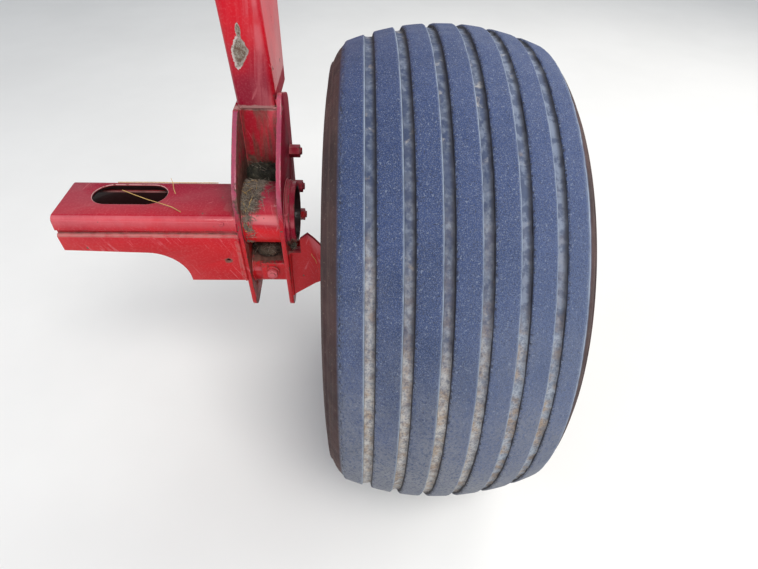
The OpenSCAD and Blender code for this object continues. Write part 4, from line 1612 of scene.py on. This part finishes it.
@dataclass
class AxleEnd:
    """The red welded axle end: beam, bracket, gussets, spindle and frame leg.

    Edge widths are in millimetres. The hay's widths go with angles round the tube, in degrees.
    """

    palette: Palette
    red_edges: dict[str, float] = field(default_factory=lambda: {
        "beam_channel": 0.9, "rear_web": 0.8, "front_web": 0.8, "belly_plate": 0.6,
        "cross_tube": 1.0, "tube_collar": 1.2, "inner_plate": 1.1, "outer_plate": 1.1,
        "lock_tab": 1.2, "lock_bolt": 0.5, "plate_bolts": 0.7, "rear_gusset": 0.9,
        "front_gusset": 0.9, "frame_leg": 0.8, "foot_plate": 0.8, "spindle": 0.4})
    nut_edge: float = 0.7
    stalk_r: float = 0.33
    hay_stalk_r: float = 0.32
    hay_r: float = 50.4
    hay_widths: tuple[tuple[float, float], ...] = (
        (-46, 8), (-36, 10), (-20, 12), (0, 14), (20, 17), (40, 24), (60, 30), (80, 33), (100, 32),
        (120, 26))

    def build(self) -> None:
        """Makes the softened pieces, the welds and the litter."""
        softener = Softener(self.palette)
        for node, width in self.red_edges.items():
            softener.soften(node, width, Slot.RED, Body.AXLE)
        softener.soften("spindle_nut", self.nut_edge, Slot.ZINC, Body.AXLE)
        Runs().build("axle_welds", self.beads(), Body.AXLE, self.palette.red, Slot.RED)
        Runs().build("long_straws", self.stalks(), Body.AXLE, self.palette.straw)
        scatter = StrawLitter.straw_tree()
        self.heaps(scatter)
        self.hay(scatter)

    def beads(self) -> dict[str, Run]:
        """The weld beads.

        Returns:
            Name of each bead to its path.
        """
        top = chain(*((x, AT.inner_face - 0.8, z) for x, z in (
            (-54.5, -22), (-54.5, -7), (-51.5, 0), (-44.5, 3.1), (0, 3.2), (44.5, 3.1), (51.5, 0),
            (54.5, -7), (54.6, -22))))
        turns = (math.tau * i / 16 for i in range(16))
        plug = chain(*((54.6, 262 + 2.3 * math.cos(a), -7.1 + 2.3 * math.sin(a)) for a in turns))
        beads = {
            "tube_inner": Run(ring((0, AT.gap_in + 0.5, AT.tube_z), 50.0), 1.8, True),
            "tube_outer": Run(ring((0, AT.gap_out - 0.5, AT.tube_z), 50.0), 1.6, True),
            "collar_plate": Run(ring((0, AT.outer_face + 0.4, AT.tube_z), 53.7), 1.8, True),
            "collar_tube": Run(ring((0, AT.outer_face + 7.8, AT.tube_z), 50.1), 1.5, True),
            "spindle_outer": Run(ring((0, AT.outer_face + 0.5, AT.spindle_z), 30.1), 2.6, True),
            "spindle_inner": Run(ring((0, AT.gap_in + 0.5, AT.spindle_z), 30.1), 2.2, True),
            "beam_top": Run(top, 2.0),
            "plug": Run(plug, 1.7, True),
            "foot_seam": Run(chain((-53.2, 294, 135.4), (-53.2, 322, 135.6),
                                   (-53.2, 350, 135.4)), 1.7),
            "foot_left": Run(chain((-54, 292.6, 134), (-54, 292.6, 0)), 2.2),
            "foot_right": Run(chain((-54, 350.4, 134), (-54, 350.4, 0)), 2.2),
            "leg_stand": Run(chain((-62, 288.2, 136.6), (-95, 288.2, 136.6),
                                   (-124, 288.2, 136.6)), 2.4),
            "leg_lap": Run(chain((-52, 351.0, 138), (-52.5, 350.6, 149)), 1.8),
            "gusset_rear": Run(chain((36.6, 359.8, -175), (36.6, 359.8, -80)), 2.4),
            "gusset_front": Run(chain((-36.6, 359.8, -175), (-36.6, 359.8, -102)), 2.4),
            "tab": Run(chain((38.4, 350.4, -135), (38.4, 350.4, -101)), 1.8),
        }
        for end, s in (("rear", 1), ("front", -1)):
            beads["web_" + end] = Run(chain((s * 54.9, 283.0, -34), (s * 49.6, 283.0, -80),
                                            (s * 43.6, 283.0, -133)), 2.7)
            beads["ledge_" + end] = Run(chain((s * 51.0, 0.6, -32.6), (s * 51.0, 283.4, -32.6)),
                                        3.3)
        return beads

    def stalks(self) -> dict[str, Run]:
        """The long straws that lie on the beam and the rear gusset.

        Returns:
            Name of each straw to its path.
        """
        return {
            "edge_straw": Run(chain((-49.0, 72, 3.0), (-50.8, 104, 2.2), (-50.2, 140, 2.7),
                                    (-48.9, 172, 3.2), (-50.0, 205, 2.5), (-50.6, 239, 2.4)), 0.75),
            "slot_straw": Run(chain((-22, 88, 4.8), (-9, 112, 4.0), (6, 138, 4.7), (16, 160, 4.9),
                                    (25, 180, 4.2), (38, 197, 3.7)), 0.58),
            "gusset_straw": Run(chain((41.8, 397, -76), (42.3, 400, -83), (41.9, 404, -90),
                                      (42.2, 405, -97)), 0.40),
            "short_straw": Run(chain((-58, 158, 5.9), (-44, 165, 4.6), (-30, 169, 4.4),
                                     (-14, 176, 3.8)), 0.45),
        }

    def heaps(self, scatter: Growth) -> None:
        """Lays the heaps between the plates and in the tube's end.

        Args:
            scatter: The tree that scatters stalks.
        """
        heap = StrawLitter.heap_tree()
        soil, hay, moss = self.palette.soil, self.palette.hay, self.palette.moss
        for one in (
                Heap("moss_behind_tube", (-42, 321.5, 26), (15, 30.5, 19), 11, moss, 60000, moss,
                     5, 21.0),
                Heap("strands_behind_tube", (-40, 318, 34), (9, 22, 9), 5, moss, 16000, hay,
                     6, 21.0),
                Heap("dirt_on_spindle", (-14, 321.5, -92), (36, 30.5, 17), 9, soil, 30000, hay, 7),
                Heap("soil_in_tube", (0, 343, -57), (30, 22, 12), 8, soil, 20000, hay, 8),
                Heap("tuft_under_collar", (31, 366, -66), (4, 5, 6), 5, soil, 110000, hay, 9)):
            lump = StrawLitter.lump(one.centre, one.half)
            piece = heap.grow(lump, one.name, Rough=one.rough * MM, Finish=one.finish)
            smoothed(piece.data, 60)
            settle(piece, Body.AXLE)
            settle(scatter.grow(StrawLitter.lump(one.centre, one.half), one.name + "_stalks",
                                Count=float(one.density), Length=one.stalk_length * MM,
                                Thick=self.stalk_r * MM, Seed=one.seed, Lift=0.003,
                                Finish=one.stalk), Body.AXLE)

    def hay(self, scatter: Growth) -> None:
        """Lays hay and straw on the cross tube, beside the inner plate.

        Args:
            scatter: The tree that scatters stalks.
        """
        hay, straw = self.palette.hay, self.palette.straw
        for mat in (Mat("hay_on_tube", 1.0, 230000, 16, 3.5, 21, hay),
                    Mat("loose_hay", 1.5, 30000, 15, 3.5, 23, hay),
                    Mat("straw_on_tube", 0.9, 8000, 18, 4.5, 22, straw)):
            patch = StrawLitter.tube_patch(self.hay_r, AT.gap_in + 0.6, [
                (angle, width * mat.spread) for angle, width in self.hay_widths])
            settle(scatter.grow(patch, mat.name, Count=float(mat.density), Length=mat.length * MM,
                                Thick=self.hay_stalk_r * MM, Seed=mat.seed, Lift=mat.lift * MM,
                                Finish=mat.finish), Body.AXLE)


@dataclass
class WheelAndHub:
    """The wheel: tyre, rim, disc, hub, studs, cap, seal and valve; sizes in millimetres."""

    palette: Palette
    pieces: dict[str, tuple[float, Slot]] = field(default_factory=lambda: {
        "rim_band": (0.7, Slot.RIM), "wheel_disc": (0.9, Slot.RIM), "valve_stem": (0.5, Slot.SEAL),
        "hub": (0.9, Slot.HUB), "wheel_studs": (0.6, Slot.ZINC), "dust_cap": (0.9, Slot.HUB),
        "hub_seal": (0.3, Slot.SEAL)})
    seam_r: float = 157.5

    def build(self) -> None:
        """Makes the tyre, the softened pieces and the rim's welds."""
        RibbedTyre(self.palette).build()
        softener = Softener(self.palette)
        for node, (width, slot) in self.pieces.items():
            softener.soften(node, width, slot, Body.WHEEL)
        centre = WHEEL_CENTRE / MM
        seams = {"disc_rim_out": (42.5, 2.6), "disc_rim_in": (16.5, 2.2)}
        beads = {name: Run(ring((centre.x, centre.y + off, centre.z), self.seam_r, 96), bead, True)
                 for name, (off, bead) in seams.items()}
        Runs().build("rim_welds", beads, Body.WHEEL, self.palette.rim, Slot.RIM)


@dataclass
class PhotoCamera:
    """The camera that took the photograph, placed from the tyre's fitted outline."""

    place: Vector = field(default_factory=lambda: Vector((0.757, -0.1211, 0.6307)))
    pitch: float = 42.0
    yaw: float = -2.6907
    roll: float = 1.9796
    focal_px: float = 545.0
    image_w: int = 758

    def build(self) -> None:
        """Makes the camera and makes it the scene's own."""
        pitch = math.radians(self.pitch)
        turn = Matrix.Rotation(math.radians(self.yaw), 3, "Z")
        ahead = turn @ Vector((-math.cos(pitch), 0, -math.sin(pitch)))
        right = turn @ Vector((0, 1, 0))
        up = right.cross(ahead)
        c, s = math.cos(math.radians(self.roll)), math.sin(math.radians(self.roll))
        right, up = c * right + s * up, c * up - s * right
        axes = Matrix((right, up, -ahead)).transposed()
        data = bpy.data.cameras.new("photo_camera")
        data.sensor_width = 36.0
        data.lens = data.sensor_width * self.focal_px / self.image_w
        data.clip_start = 0.02
        camera = linked("photo_camera", data)
        camera.matrix_world = Matrix.Translation(WHEEL_CENTRE + self.place) @ axes.to_4x4()
        bpy.context.scene.camera = camera


@dataclass
class Studio:
    """A pale floor, soft lamps and a pale sky."""

    floor_colour: Colour = (0.82, 0.81, 0.79)
    floor_half: float = 60.0
    sky: Colour = (0.86, 0.92, 1.0)
    sky_level: float = 0.50
    backdrop: Colour = (0.94, 0.94, 0.94)

    def build(self) -> None:
        """Makes the floor, the lamps and the world."""
        self._floor()
        self._lamp("key", Vector((1.9, 0.7, 2.7)), 1.5, 82.0, (1.0, 0.98, 0.95))
        self._lamp("fill", Vector((1.2, -2.8, 1.5)), 2.4, 30.0, (0.94, 0.96, 1.0))
        self._lamp("outboard", Vector((-0.4, 3.0, 1.8)), 2.2, 38.0, (1.0, 0.98, 0.95))
        self._lamp("back", Vector((-2.3, 1.2, 2.4)), 2.0, 38.0, (1.0, 0.97, 0.92))
        world = bpy.data.worlds.new("studio")
        world.use_nodes = True
        g = NodeTree(world.node_tree)
        world.node_tree.nodes.clear()
        lit, white = (
            g.add("ShaderNodeBackground", {"Color": (*tint, 1.0), "Strength": level}).outputs[0]
            for tint, level in ((self.sky, self.sky_level), (self.backdrop, 1.0)))
        rays = g.add("ShaderNodeLightPath").outputs
        seen = g.most(*(rays[f"Is {kind} Ray"] for kind in ("Camera", "Glossy", "Transmission")))
        both = g.add("ShaderNodeMixShader", {0: seen, 1: lit, 2: white}).outputs[0]
        g.add("ShaderNodeOutputWorld", {"Surface": both})
        bpy.context.scene.world = world
        bpy.context.scene.view_settings.view_transform = "Standard"

    def _floor(self) -> None:
        """Makes the floor under the tyre."""
        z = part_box("tyre")[0].z - 0.0005
        half = self.floor_half
        mesh = bpy.data.meshes.new("floor")
        corners = [(-half, -half, z), (half, -half, z), (half, half, z), (-half, half, z)]
        mesh.from_pydata(corners, [], [(0, 1, 2, 3)])
        g = Surface("floor")
        darker = tuple(0.96 * c for c in self.floor_colour)
        colour = g.mix(g.patches(1.5, 0.3, 0.7), self.floor_colour, darker)
        rough = g.step(g.grain(3), 0.3, 0.7, 0.85, 0.95)
        mesh.materials.append(g.done(colour, rough, g.bump(g.grain(30), 0.0002)))
        linked("floor", mesh)

    def _lamp(self, name: str, place: Vector, size: float, watts: float, colour: Colour) -> None:
        """Adds a square lamp that faces the wheel.

        Args:
            name: The lamp's name.
            place: Its place from the wheel's centre.
            size: Its side in metres.
            watts: Its power.
            colour: Its colour.
        """
        data = bpy.data.lights.new(name, "AREA")
        data.size = size
        data.energy = watts
        data.color = colour
        lamp = linked(name, data)
        lamp.location = WHEEL_CENTRE + place
        lamp.rotation_mode = "QUATERNION"
        lamp.rotation_quaternion = (-place).to_track_quat("-Z", "Y")


def main() -> None:
    """Builds the stage, the camera and the dressed pieces in order."""
    logging.basicConfig(level=logging.INFO, format="%(message)s")
    PhotoCamera().build()
    Studio().build()
    palette = Palette()
    WheelAndHub(palette).build()
    AxleEnd(palette).build()


if __name__ == "__main__":
    main()
